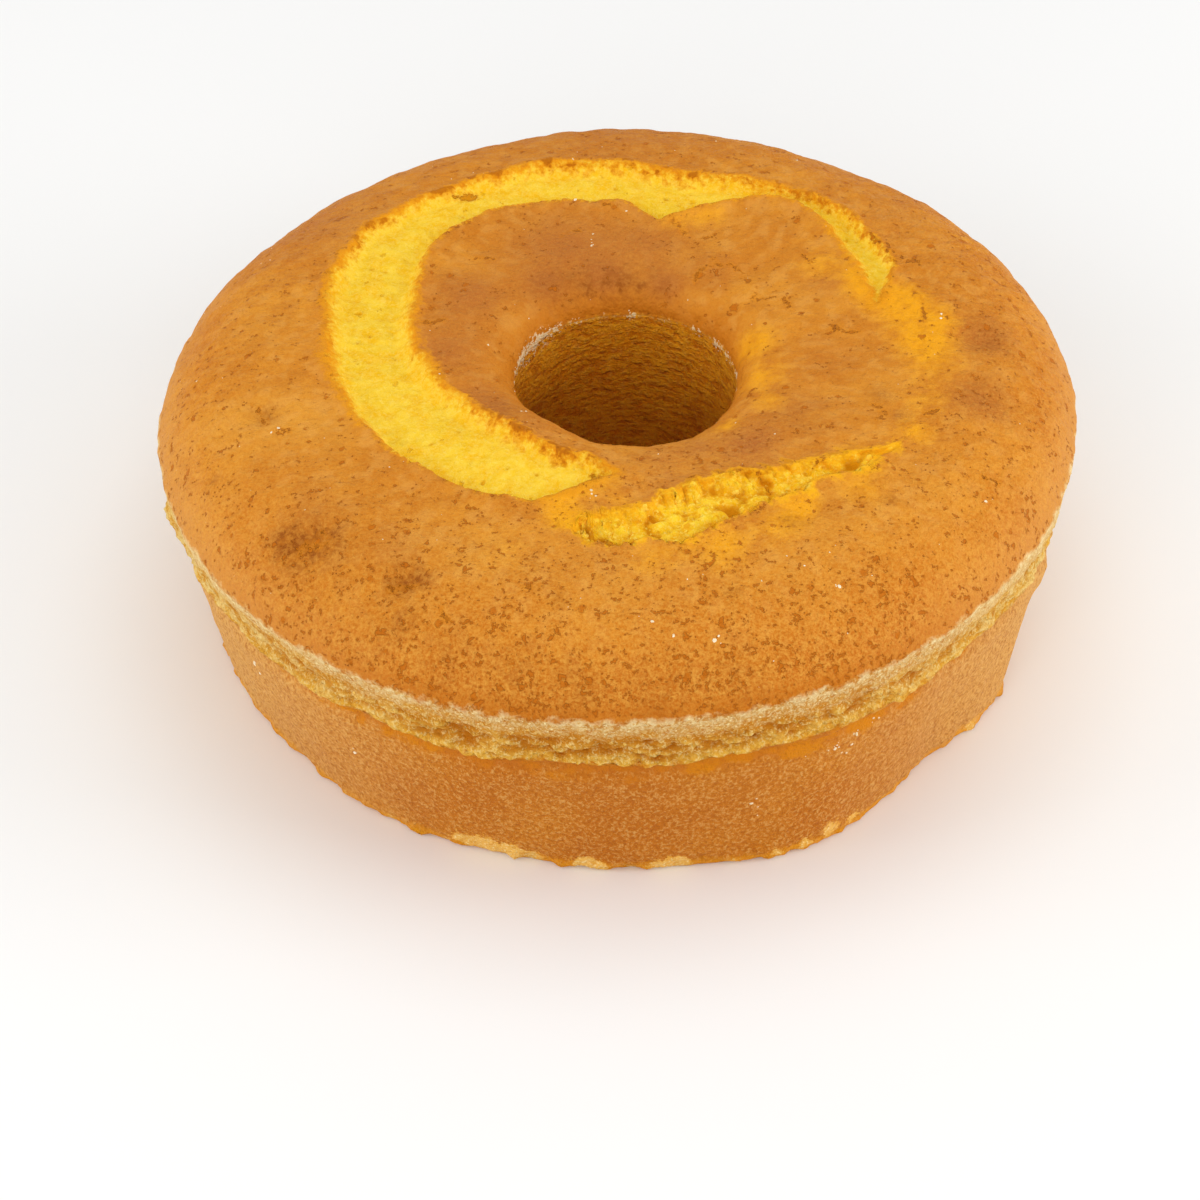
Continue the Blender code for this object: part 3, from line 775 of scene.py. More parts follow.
# %% [markdown]
# ## One helper for every node
#
# Shaders and Geometry Nodes are trees of nodes, and a tree in a script is easy to lose
# oneself in. This helper adds any node in one line: its plain inputs fill the sockets that
# are open, in their order, whether they are numbers, colours or other nodes.

# %% Add a node, with its settings and its links
def add(tree, kind, *inputs, **named):
    """A name with a capital fills the socket of that name, any other name is a setting."""
    node = tree.nodes.new(kind if "Node" in kind else "ShaderNode" + kind)
    for name, value in named.items():
        if name[0].islower():
            setattr(node, name, value)
    sockets = [socket for socket in node.inputs if socket.enabled]
    fills = list(zip(sockets, inputs))
    for name, value in named.items():
        fills += [(socket, value) for socket in sockets if socket.name == name.replace("_", " ")]
    for socket, value in fills:
        if isinstance(value, bpy.types.Node):
            value = next(output for output in value.outputs if output.enabled)
        if isinstance(value, bpy.types.NodeSocket):
            tree.links.new(value, socket)
        elif value is not None:
            socket.default_value = value
    return node


# %% [markdown]
# ## Roughening the dough with Geometry Nodes
#
# Open crumb is full of holes, the torn ledge is craggy, the crust swells and sinks a
# little. All of that follows the surface, so one tree moves every point along its normal.
# The tree reads the marks to know what each point is made of. It writes down how far each
# point was moved as well, because the finish paints shade at the bottom of a hole and
# highlight on the heights. Patterns are laid over one another by a helper, which the finish
# uses again for its ragged masks.

# %% Start a tree with named inputs
def geometry_tree(name, **sizes):
    """A node group that takes geometry and named numbers, and gives geometry."""
    tree = bpy.data.node_groups.new(name, "GeometryNodeTree")
    tree.interface.new_socket("Geometry", in_out="INPUT", socket_type="NodeSocketGeometry")
    tree.interface.new_socket("Geometry", in_out="OUTPUT", socket_type="NodeSocketGeometry")
    for label, value in sizes.items():
        kind = "NodeSocket" + {str: "String", int: "Int", float: "Float"}[type(value)]
        socket = tree.interface.new_socket(
            label.replace("_", " "), in_out="INPUT", socket_type=kind,
        )
        socket.default_value = value
    tree.interface.new_socket("Material", in_out="INPUT", socket_type="NodeSocketMaterial")
    return tree, tree.nodes.new("NodeGroupInput"), tree.nodes.new("NodeGroupOutput")


def apply_tree(obj, tree, **sizes):
    """Sets the tree's inputs by their identifiers and turns the result into a plain mesh."""
    modifier = obj.modifiers.new(tree.name, "NODES")
    modifier.node_group = tree
    for item in tree.interface.items_tree:
        label = item.name.replace(" ", "_")
        if item.in_out == "INPUT" and label in sizes:
            modifier[item.identifier] = sizes[label]
    bpy.context.view_layer.update()
    mesh = bpy.data.meshes.new_from_object(obj.evaluated_get(bpy.context.evaluated_depsgraph_get()))
    obj.modifiers.remove(modifier)
    obj.data = mesh
    return mesh


# %% Patterns laid over a value
def roughened(tree, value, *patterns):
    """Adds patterns to a value, each one (pattern, amount)."""
    for pattern, amount in patterns:
        value = add(tree, "Math", pattern, amount, value, operation="MULTIPLY_ADD")
    return value


# %% What is crumb, torn crumb or ledge
FOAM_SIZE, WARP_SIZE, LEDGE_GRIT_SIZE, CRUST_SWELL_SIZE = 2.2, 2.0, 1.8, 9.0
tree, given, result = geometry_tree(
    "sponge_relief", Pore_size=3.4, Pore_depth=0.8, Crag_size=4.2, Crag_height=1.7,
    Ledge_crag_size=2.4, Ledge_crag_height=1.3, Foot_height=1.1, Swell_height=0.42, Scale=MM,
)
relief_tree = tree
mark = {name: add(tree, "GeometryNodeInputNamedAttribute", name) for name in marks}
place = add(tree, "VectorMath", add(tree, "GeometryNodeInputPosition"), 1 / MM, operation="SCALE")

crumb = add(tree, "MapRange", mark["in_split"], 0.5, 3.5, interpolation_type="SMOOTHSTEP")
not_torn = add(tree, "Math", 1.0, mark["torn_split"], operation="SUBTRACT")
smooth_crumb = add(tree, "Math", crumb, not_torn, operation="MULTIPLY")
torn = add(tree, "MapRange", mark["in_split"], -0.2, 1.2, interpolation_type="SMOOTHSTEP")
torn = add(tree, "Math", torn, mark["torn_split"], operation="MULTIPLY")
ledge_starts = add(tree, "MapRange", mark["below_band"], -3.0, 1.0, interpolation_type="SMOOTHSTEP")
ledge_ends = add(tree, "MapRange", mark["below_crumb"], 1.0, -0.5, interpolation_type="SMOOTHSTEP")
ledge = add(tree, "Math", ledge_starts, ledge_ends, operation="MULTIPLY")

# %% Pores and swells of the smooth crumb
pore_cells = add(
    tree, "TexVoronoi", place,
    add(tree, "Math", 1.0, given.outputs["Pore size"], operation="DIVIDE"),
)
pore_radius = add(tree, "SeparateXYZ", pore_cells.outputs["Color"])
pore_radius = add(tree, "MapRange", pore_radius, 0.45, 1.0, 0.0, 0.36)
pore_fill = add(tree, "Math", pore_cells, pore_radius, operation="SUBTRACT")
pores = add(tree, "MapRange", pore_fill, 0.02, -0.14, interpolation_type="SMOOTHSTEP")
pore_relief = add(tree, "Math", pores, given.outputs["Pore depth"], operation="MULTIPLY")
crumb_swell = add(tree, "TexNoise", place, 1 / FOAM_SIZE, 2.0)
crumb_swell = add(tree, "MapRange", crumb_swell, 0.3, 0.7, -0.25, 0.25)
pore_relief = add(tree, "Math", crumb_swell, pore_relief, operation="SUBTRACT")

# %% Crags of the torn crumb and flakes of the ledge
warp = add(tree, "TexNoise", place, 1 / WARP_SIZE, 1.0)
warp = add(tree, "VectorMath", warp.outputs["Color"], (0.5, 0.5, 0.5), operation="SUBTRACT")
warped = add(tree, "VectorMath", warp, (2.4, 2.4, 2.4), place, operation="MULTIPLY_ADD")
crag_cells = add(
    tree, "TexVoronoi", warped,
    add(tree, "Math", 1.0, given.outputs["Crag size"], operation="DIVIDE"),
)
crags = add(tree, "MapRange", crag_cells, 0.1, 0.85, 1.0, -0.5)
crag_relief = add(tree, "Math", crags, given.outputs["Crag height"], operation="MULTIPLY")

flat_place = add(tree, "VectorMath", warped, (1.0, 1.0, 1.7), operation="MULTIPLY")
ledge_scale = add(tree, "Math", 1.0, given.outputs["Ledge crag size"], operation="DIVIDE")
ledge_cells = add(tree, "TexVoronoi", flat_place, ledge_scale)
ledge_crags = add(tree, "MapRange", ledge_cells, 0.1, 0.85, 0.15, -0.25)
flaky = roughened(tree, ledge_crags, (mark["flakes"], 1.0))
ledge_lip = add(tree, "MapRange", mark["below_crumb"], -4.5, -1.0, 0.0, 0.6)
flaky = add(tree, "Math", flaky, ledge_lip, operation="ADD")
flaky = roughened(tree, flaky, (mark["layers"], 0.8))
in_front = add(tree, "MapRange", mark["facing"], 0.0, 0.9, 0.2, 1.0)
flaky = add(tree, "Math", flaky, in_front, operation="MULTIPLY")
ledge_grit = add(
    tree, "MapRange", add(tree, "TexNoise", place, 1 / LEDGE_GRIT_SIZE, 1.0), 0.3, 0.7, -0.35, 0.35,
)
flaky = add(tree, "Math", flaky, ledge_grit, operation="ADD")
ledge_relief = add(tree, "Math", flaky, given.outputs["Ledge crag height"], operation="MULTIPLY")

# %% Swells of the crust and the worn foot
swell = add(tree, "TexNoise", place, 1 / CRUST_SWELL_SIZE, 3.0, 0.55)
swell = add(tree, "MapRange", swell, 0.3, 0.7, -1.0, 1.0)
relief = add(tree, "Math", swell, given.outputs["Swell height"], operation="MULTIPLY")
above_base = add(tree, "SeparateXYZ", place)
at_foot = add(tree, "MapRange", above_base.outputs["Z"], 7.0, 1.0)
foot_relief = roughened(tree, mark["flakes"], (mark["blotches"], 0.9))
foot_relief = add(tree, "Math", foot_relief, given.outputs["Foot height"], operation="MULTIPLY")
relief = roughened(
    tree, relief, (smooth_crumb, pore_relief), (torn, crag_relief), (ledge, ledge_relief),
    (at_foot, foot_relief),
)

# %% Every point moved along its normal, except on the base
above_base = add(tree, "MapRange", above_base.outputs["Z"], 0.1, 1.2)
relief = add(tree, "Math", relief, above_base, operation="MULTIPLY")
noted = add(tree, "GeometryNodeStoreNamedAttribute", given, True, "relief", relief)
move = add(tree, "Math", relief, given.outputs["Scale"], operation="MULTIPLY")
move = add(tree, "VectorMath", add(tree, "GeometryNodeInputNormal"), move, operation="SCALE")
moved = add(tree, "GeometryNodeSetPosition", noted, True, Offset=move)
real = add(tree, "GeometryNodeRealizeInstances", moved)
finished = add(tree, "GeometryNodeSetMaterial", real, True, given.outputs["Material"])
tree.links.new(finished.outputs[0], result.inputs[0])
print("relief tree:", len(tree.nodes), "nodes")

# %% [markdown]
# ## The finish of a baked sponge
#
# Cake is a matt foam of starch and egg with a little fat, so its gloss is low and soft
# everywhere. What changes from place to place is colour, from lemon-yellow crumb through
# gold to brown where the oven dried and toasted it, and grain. One shader makes it all,
# coat by coat, with each coat laid through a mask that is read from the marks. The masks
# are roughened with noise first, because no edge on a cake is a clean line.

# %% Colours as hex, turned to linear light
def paint(colour):
    parts = [int(colour[at:at + 2], 16) / 255 for at in (1, 3, 5)]
    return (*[p / 12.92 if p <= 0.04045 else ((p + 0.055) / 1.055) ** 2.4 for p in parts], 1.0)


def coats(tree, ground, *layers):
    """Lays colours over a ground, each one (mask, colour) or (mask, strength, colour)."""
    for mask, *strength, colour in layers:
        if strength:
            mask = add(tree, "Math", mask, *strength, operation="MULTIPLY")
        colour = paint(colour) if isinstance(colour, str) else colour
        ground = add(tree, "Mix", mask, ground, colour, data_type="RGBA")
    return ground


print("plain crust in linear light:", [round(part, 3) for part in paint("#CB7B1B")])

# %% Start a finish, with its places in millimetres
def finish(name):
    """A bare material, its node tree, and Object coordinates in millimetres."""
    material = bpy.data.materials.new(name)
    material.use_nodes = True
    material.node_tree.nodes.clear()
    place = add(material.node_tree, "TexCoord").outputs["Object"]
    place = add(material.node_tree, "VectorMath", place, 1 / MM, operation="SCALE")
    return material, material.node_tree, place


sponge, tree, place = finish("browned_sponge")
mark = {
    name: add(tree, "Attribute", attribute_name=name).outputs["Fac"]
    for name in (*marks, "relief", "crumb_tone")
}
flat_place = add(tree, "VectorMath", place, (1.0, 1.0, 0.85), operation="MULTIPLY")

# %% [markdown]
# ### Grains that every part of the cake shares
#
# The slow patterns, down to clumps of 3 mm, are already written on the points as marks,
# which costs a render nothing. The shader adds only what is finer than the mesh, down to
# a grit of three quarters of a millimetre, about the finest that a picture of the whole
# cake shows. Pinholes are where the coarser noises sink lowest, which gives them the
# crooked outlines that burst bubbles leave. The larger pits of the crust and the bubbles
# of the crumb are cells, filled in only near their middle.

# %% Shared grains, sizes in millimetres
CRUMB_SIZE, GRIT_SIZE, SPECKLE_SIZE, PORE_SIZE, PIT_SPACING = 1.4, 0.75, 1.1, 2.5, 4.4
crumbs = add(tree, "TexNoise", place, 1 / CRUMB_SIZE, 2.0, 0.7)
grit = add(tree, "TexNoise", place, 1 / GRIT_SIZE, 1.0, 0.7)
speckle = add(tree, "TexNoise", flat_place, 1 / SPECKLE_SIZE, 2.0, 0.8)
pores = add(tree, "TexNoise", place, 1 / PORE_SIZE, 2.0, 0.6)
warp = add(tree, "VectorMath", crumbs.outputs["Color"], (0.5, 0.5, 0.5), operation="SUBTRACT")
warped = add(tree, "VectorMath", warp, (2.6, 2.6, 2.6), place, operation="MULTIPLY_ADD")
ragged_edge = add(tree, "MapRange", crumbs, 0.3, 0.7, -0.9, 0.9)
wavy_edge = add(tree, "MapRange", mark["blotches"], -0.5, 0.5, -1.2, 1.2)

pit_cells = add(tree, "TexVoronoi", warped, 1 / PIT_SPACING)
pit_draw = add(tree, "SeparateXYZ", pit_cells.outputs["Color"])
pit_radius = add(tree, "MapRange", pit_draw, 0.30, 1.0, -0.06, 0.20)
bubbles = add(tree, "Math", pit_cells, pit_radius, operation="SUBTRACT")
bubbles = add(tree, "MapRange", bubbles, 0.03, -0.07, interpolation_type="SMOOTHSTEP")
print("shared grains:", len(tree.nodes), "nodes")

# %% [markdown]
# ### The crust
#
# It browned unevenly: rosier round the hole, deeper towards the rim, golden where it is
# thin, and nearly bread-brown in its sunken spots. Towards the rim, most of all in front,
# where it rolls down, it is painted darker as shade, and near the rim at the sides paler as
# side light. Steam left pits all over it, most of them near the rim, painted darker as the
# shade inside them, and where it was stretched most it creased, with painted shade in the
# cracks.

# %% Crust
# Darker towards the rim as browning, and more in front as painted shade where the crust rolls down.
rim_browning_and_front_shade = add(tree, "MapRange", mark["from_rim"], -45.0, -3.0, interpolation_type="SMOOTHSTEP")
front_share = add(tree, "MapRange", mark["facing"], 0.0, 0.9, 0.5, 1.0)
rim_browning_and_front_shade = add(tree, "Math", rim_browning_and_front_shade, front_share, operation="MULTIPLY")
near_rim = add(tree, "MapRange", mark["from_rim"], -60.0, -6.0, 0.45, 1.0)
near_rim = add(tree, "Math", near_rim, front_share, operation="MULTIPLY")
# The front rim is painted darker still, as shade.
front_rim_shade = add(
    tree, "MapRange", mark["from_rim"], -24.0, -4.0, 0.0, 0.5, interpolation_type="SMOOTHSTEP",
)
front_rim_shade = add(tree, "Math", front_rim_shade, mark["facing"], operation="MULTIPLY")
lighter = add(tree, "MapRange", mark["swells"], -0.3, 0.35)
mottled = add(tree, "MapRange", mark["blotches"], -0.25, 0.4)
bloom = add(tree, "MapRange", mark["clumps"], -0.05, 0.4)
# Pits and pinholes are painted darker than the crust round them, as the shade inside them, besides
# their bump.
fewest = add(tree, "MapRange", mark["from_rim"], -55.0, -5.0, 0.60, 0.25)
pit_size = add(tree, "MapRange", pit_draw, fewest, 1.0, -0.04, 0.27)
crust_pits = add(tree, "Math", pit_cells, pit_size, operation="SUBTRACT")
crust_pits = add(tree, "MapRange", crust_pits, 0.04, -0.06)
pin_level = add(tree, "MapRange", mark["from_rim"], -60.0, -4.0, 0.36, 0.40)
pin_level = roughened(
    tree, pin_level, (mark["blotches"], 0.05), (mark["facing"], 0.04), (mark["rosy"], 0.02),
)
pin_noise = add(tree, "Mix", 0.5, pores, crumbs)
pinholes = add(tree, "Math", pin_level, pin_noise, operation="SUBTRACT")
pinholes = add(tree, "MapRange", pinholes, -0.005, 0.035)
golden = roughened(tree, mark["golden"], (mark["clumps"], 0.4), (ragged_edge, 0.1))
golden = add(tree, "MapRange", golden, 0.05, 1.0)
near_golden = add(tree, "MapRange", mark["golden"], 0.0, 0.2)
golden = add(tree, "Math", golden, near_golden, operation="MULTIPLY")
dark_grain = add(
    tree, "Math", add(tree, "MapRange", crumbs, 0.50, 0.36), near_rim, operation="MULTIPLY",
)
light_grain = add(
    tree, "Math", add(tree, "MapRange", crumbs, 0.51, 0.65), near_rim, operation="MULTIPLY",
)
fine_grain = add(tree, "MapRange", grit, 0.36, 0.62)
fine_grain = add(tree, "Math", fine_grain, near_rim, operation="MULTIPLY")
# The last few millimetres before the rim are painted darker as shade where the crust rolls over,
# most of all in front.
rim_roll_shade = add(tree, "MapRange", mark["from_rim"], -7.0, -1.5, interpolation_type="SMOOTHSTEP")
rim_roll_shade = add(tree, "Math", rim_roll_shade, front_share, operation="MULTIPLY")
# The sides, away from the front, are painted paler as side light, and so is the crust near the rim
# there.
side_light_share = add(tree, "MapRange", mark["facing"], 0.8, 0.1, 0.0, 0.85)
rim_side_light = add(tree, "MapRange", mark["from_rim"], -16.0, -1.0)
rim_side_light = add(tree, "Math", rim_side_light, side_light_share, operation="MULTIPLY")
scorch = add(tree, "MapRange", crumbs, 0.60, 0.38, 0.5, 1.0)
scorch = add(tree, "Math", scorch, mark["scorched"], operation="MULTIPLY")
scorch = add(
    tree, "Math", scorch, add(tree, "MapRange", mark["clumps"], -0.4, 0.3, 0.5, 1.3),
    operation="MULTIPLY",
)
crust = coats(
    tree, paint("#CB7B1B"),
    (lighter, 0.85, "#D98D26"),
    (mottled, 0.65, "#C07013"),
    (mark["paler"], 0.8, "#E29D35"),
    (bloom, 0.35, "#E09F48"),
    (mark["rosy"], "#B26626"),
    (rim_browning_and_front_shade, 0.6, "#C16508"),
    (front_rim_shade, "#B15C04"),
    (golden, 0.9, "#F0A200"),
    (light_grain, 0.35, "#EAAC4A"),
    (dark_grain, 0.45, "#BC6404"),
    (fine_grain, 0.35, "#EDAE48"),
    (rim_roll_shade, 0.6, "#BD680A"),
    (rim_side_light, 0.6, "#DEA254"),
    (scorch, "#96500B"),
    (pinholes, 0.85, "#B86200"),
    (crust_pits, 0.8, "#BC6400"),
)
print("crust:", len(tree.nodes), "nodes")

# %% [markdown]
# ### Open crumb in the splits
#
# Where the crust tore, the dough rose after the crust had set, so it stayed soft and
# yellow. The long split is a smooth foam with scattered pores, painted darker at the bottom
# of its pores as shade. The short one tore late and is all crags, painted golden on their
# heights as highlight and deeper in their hollows as shade.

# %% Crumb, smooth and torn
pale_foam = add(tree, "MapRange", crumbs, 0.40, 0.64)
foam_grain = add(tree, "MapRange", grit, 0.52, 0.72)
soft_foam = add(tree, "MapRange", mark["clumps"], -0.3, 0.35)
deep_foam = add(tree, "MapRange", mark["blotches"], -0.1, 0.4, 0.0, 0.8)
# Low places of the relief are painted darker, as shade.
hollow_shade = add(tree, "MapRange", mark["relief"], -0.3, -0.9, interpolation_type="SMOOTHSTEP")
smooth_crumb = coats(
    tree, paint("#EDBE20"),
    (soft_foam, 0.8, "#F5CB34"),
    (deep_foam, "#EEB50E"),
    (pale_foam, 0.45, "#F8D754"),
    (foam_grain, 0.2, "#FBE78A"),
    (bubbles, 0.75, "#E6A808"),
    (hollow_shade, 0.8, "#E2A204"),
)
# Heights of the crags are painted paler as highlight, and their low places deeper as shade.
torn_highlight = add(tree, "MapRange", mark["relief"], -0.6, 1.4)
torn_shade = add(tree, "MapRange", mark["relief"], 0.1, -0.7)
torn_pockets = add(tree, "MapRange", pores, 0.46, 0.36)
torn_crumb = coats(
    tree, paint("#E8A600"),
    (torn_highlight, "#F5CC24"),
    (deep_foam, "#ECAC04"),
    (pale_foam, 0.4, "#FADA50"),
    (foam_grain, 0.35, "#FBE27A"),
    (torn_pockets, 0.7, "#DC9402"),
    (torn_shade, "#CC8200"),
    (mark["crumb_tone"], 0.8, "#FADC5A"),
)
crumb = coats(tree, smooth_crumb, (mark["torn_split"], torn_crumb))

# %% [markdown]
# ### The lips of the splits
#
# A soft lip goes from brown through orange to yellow over several millimetres. A crisp one
# changes within one. Stretches of lip are toasted, and their walls painted in shade: there
# the orange reaches in over the crumb in patches, with darker crumbs along the edge. How
# soft and how toasted and shaded a stretch is comes from the marks.

# %% From crust to crumb across a lip
frayed = add(tree, "Math", mark["in_split"], ragged_edge, operation="ADD")
torn_fray = add(tree, "Math", mark["clumps"], mark["torn_split"], operation="MULTIPLY")
frayed = roughened(tree, frayed, (wavy_edge, mark["soft_lip"]), (torn_fray, 2.6))
orange_from = add(tree, "MapRange", mark["soft_lip"], 0.0, 1.0, -0.8, -3.0)
orange = add(tree, "MapRange", frayed, orange_from, 0.6, interpolation_type="SMOOTHSTEP")
yellow_from = add(tree, "MapRange", mark["soft_lip"], 0.0, 1.0, 0.8, 4.6)
yellow = add(tree, "MapRange", frayed, -0.1, yellow_from, interpolation_type="SMOOTHSTEP")
patchy = add(tree, "MapRange", mark["clumps"], -0.35, 0.25)
# The toast mark paints toasted crust and the shade on the lip's wall together, in one orange.
toasted_and_shaded = add(tree, "Math", mark["toast_and_wall_shade"], patchy, operation="MULTIPLY")
toast_and_shade_reach = add(tree, "MapRange", toasted_and_shaded, 0.0, 1.0, 0.4, 6.0)
reached = add(tree, "MapRange", frayed, toast_and_shade_reach, 0.6, interpolation_type="SMOOTHSTEP")
reached = add(
    tree, "Math", reached, add(tree, "MapRange", frayed, -1.6, -0.2), operation="MULTIPLY",
)
toasted_and_shaded = add(tree, "Math", toasted_and_shaded, reached, operation="MULTIPLY")
dark_clumps = add(tree, "MapRange", mark["clumps"], 0.12, 0.3)
at_edge = add(tree, "MapRange", add(tree, "Math", frayed, operation="ABSOLUTE"), 1.9, 0.7)
dark_clumps = add(tree, "Math", dark_clumps, at_edge, operation="MULTIPLY")
dark_clumps = add(tree, "Math", dark_clumps, mark["toast_and_wall_shade"], operation="MULTIPLY")
to_crack = roughened(tree, mark["to_crack"], (ragged_edge, 0.6))
# Cracks are painted darker as the shade inside them, darkest along their middle.
crack_shade = add(tree, "MapRange", to_crack, 1.0, 0.1)
crack_core_and_shade = add(tree, "MapRange", to_crack, 0.25, -0.15)
halo = coats(tree, paint("#E2930E"), (mark["torn_split"], "#F2AC10"))
toast_and_shade_colour = coats(tree, paint("#E08E08"), (add(tree, "MapRange", crumbs, 0.52, 0.40), "#D07A04"))
top_colour = coats(
    tree, crust,
    (orange, halo),
    (yellow, crumb),
    (toasted_and_shaded, 0.85, toast_and_shade_colour),
    (dark_clumps, 0.85, "#B06304"),
    (crack_shade, 0.6, "#D07C0A"),
    (crack_core_and_shade, 0.8, coats(tree, paint("#B2640A"), (yellow, "#CC8204"))),
)
print("top:", len(tree.nodes), "nodes")

# %% [markdown]
# ### The side
#
# Under the rim the tin was floured, and the flour baked on as a pale gritty band. Below
# it the cake stuck, and a ledge of crumb tore out and shows in ragged layers. Under the
# ledge lies the smooth orange hollow that it left, and then the tin-baked wall, brown and
# finely mottled like coarse paper, which goes on under the base and up inside the hole.
# All of it is painted paler away from the front, as side light, and it is darkest in front,
# where the hollow is deepest.

# %% Floury band
layered_edge = add(tree, "MapRange", mark["layers"], -0.5, 0.5, -2.6, 2.6)
light_speckle = add(tree, "MapRange", speckle, 0.50, 0.66)
dark_speckle = add(tree, "MapRange", speckle, 0.49, 0.33)
side_tone = add(tree, "MapRange", mark["swells"], -0.35, 0.35)
flour_grain = add(tree, "MapRange", grit, 0.46, 0.62)
flour_gaps = add(tree, "MapRange", pores, 0.44, 0.34)
rim_flour = add(tree, "MapRange", mark["from_rim"], 3.6, 0.6)
rim_flour = add(
    tree, "Math", rim_flour, add(tree, "MapRange", pores, 0.46, 0.56), operation="MULTIPLY",
)
# The band is painted paler at the sides, as side light.
flour = coats(
    tree, paint("#C88E3D"),
    (side_tone, "#D2A056"),
    (side_light_share, "#E9C682"),
    (dark_speckle, 0.6, "#C68031"),
    (flour_gaps, 0.65, "#BE7626"),
    (flour_grain, 0.55, "#EFD59A"),
    (rim_flour, 0.5, "#F4E4B0"),
    (mark["crumb_tone"], 0.8, "#F6E2A5"),
)

# %% Torn ledge
# Raised flakes and heights of the ledge are painted paler as highlight, and sunk ones darker as
# shade. The flakes show this only away from the front, together with the side light.
flake_highlight = add(
    tree, "Math", add(tree, "MapRange", mark["flakes"], 0.0, 0.3), side_light_share, operation="MULTIPLY",
)
flake_shade = add(
    tree, "Math", add(tree, "MapRange", mark["flakes"], -0.1, -0.35), side_light_share,
    operation="MULTIPLY",
)
ledge_highlight = add(tree, "MapRange", mark["relief"], 0.0, 0.9)
ledge_shade = add(tree, "MapRange", mark["relief"], 0.0, -1.0)
ledge_edge = add(tree, "MapRange", mark["below_crumb"], -4.0, -0.8)
# The ledge is painted paler at the sides, as side light.
torn_ledge = coats(
    tree, paint("#C47F1E"),
    (side_light_share, "#DFAE4D"),
    (ledge_highlight, "#DEA844"),
    (ledge_edge, 0.6, "#E8B03B"),
    (flake_highlight, 0.75, "#ECD28A"),
    (flake_shade, 0.7, "#D5901D"),
    (light_speckle, 0.65, "#F2D68C"),
    (dark_speckle, 0.45, "#C57C1C"),
    (ledge_shade, 0.9, "#B46606"),
    (mark["crumb_tone"], 0.85, "#F1C663"),
)

# %% Hollow and tin wall
hollow_brown = add(tree, "MapRange", mark["blotches"], -0.15, 0.35, 0.0, 0.8)
hollow_colour = coats(
    tree, paint("#D07F0A"),
    (side_tone, "#C67310"),
    (hollow_brown, "#BE6D1C"),
    (dark_speckle, 0.4, "#B56106"),
)
# The wall is painted paler at the sides, as side light.
wall = coats(
    tree, paint("#C6781C"),
    (side_tone, "#BE6D14"),
    (side_light_share, "#E0AA5C"),
    (light_speckle, 0.42, "#EDBC6E"),
    (dark_speckle, 0.65, "#A85A11"),
)

# %% Where each gives way to the next, going down
past_band = add(tree, "Math", mark["below_band"], layered_edge, operation="ADD")
past_band = add(tree, "Math", ragged_edge, past_band, operation="ADD")
past_band = add(tree, "MapRange", past_band, -5.0, -1.4, interpolation_type="SMOOTHSTEP")
past_ledge = add(tree, "Math", mark["below_crumb"], ragged_edge, operation="ADD")
past_ledge = roughened(tree, past_ledge, (mark["clumps"], 1.6), (mark["layers"], 1.6))
past_hollow = roughened(tree, past_ledge, (wavy_edge, 1.5))
hollow_from = add(tree, "MapRange", mark["facing"], 0.1, 0.8, -2.0, 5.4)
hollow_to = add(tree, "Math", hollow_from, 3.0, operation="ADD")
past_hollow = add(
    tree, "MapRange", past_hollow, hollow_from, hollow_to, interpolation_type="SMOOTHSTEP",
)
fading = add(tree, "MapRange", mark["facing"], 0.1, 0.8, 4.0, 1.1)
past_ledge = add(tree, "MapRange", past_ledge, -0.9, fading)
past_rim = roughened(tree, mark["from_rim"], (ragged_edge, 0.5), (mark["clumps"], 1.8))
past_rim = add(tree, "MapRange", past_rim, -1.0, 1.0)
side_colour = coats(
    tree, flour, (past_band, torn_ledge), (past_ledge, hollow_colour), (past_hollow, wall),
)

# %% Chipped foot, hole and flour at its lip
RIPPLE_SIZE = 1.5
height_mm = add(tree, "SeparateXYZ", place).outputs["Z"]
foot_line = add(tree, "Math", height_mm, ragged_edge, operation="ADD")
foot_line = add(tree, "MapRange", foot_line, 4.0, 1.4, 0.0, 0.8)
chip_edge = roughened(tree, mark["chipped"], (ragged_edge, 0.3))
chip_halo = add(tree, "MapRange", chip_edge, 0.28, 0.5, 0.0, 0.8)
chip_edge = add(tree, "MapRange", chip_edge, 0.32, 0.6)
chip_colour = coats(tree, paint("#EEB858"), (foam_grain, "#FADC98"), (flour_gaps, 0.7, "#DE9A34"))
ripple_place = add(tree, "VectorMath", warped, (0.38, 0.38, 1.15), operation="MULTIPLY")
ripples = add(tree, "TexNoise", ripple_place, 1 / RIPPLE_SIZE, 2.0, 0.6)
hole_wall_colour = coats(
    tree, paint("#DD8806"),
    (add(tree, "MapRange", ripples, 0.44, 0.62), "#E89E18"),
    (add(tree, "MapRange", ripples, 0.48, 0.34), "#C97204"),
    (light_speckle, 0.3, "#E8AE48"),
)
down_hole = add(tree, "Math", mark["in_hole"], ragged_edge, operation="ADD")
past_lip = add(tree, "MapRange", down_hole, -0.6, 0.8)
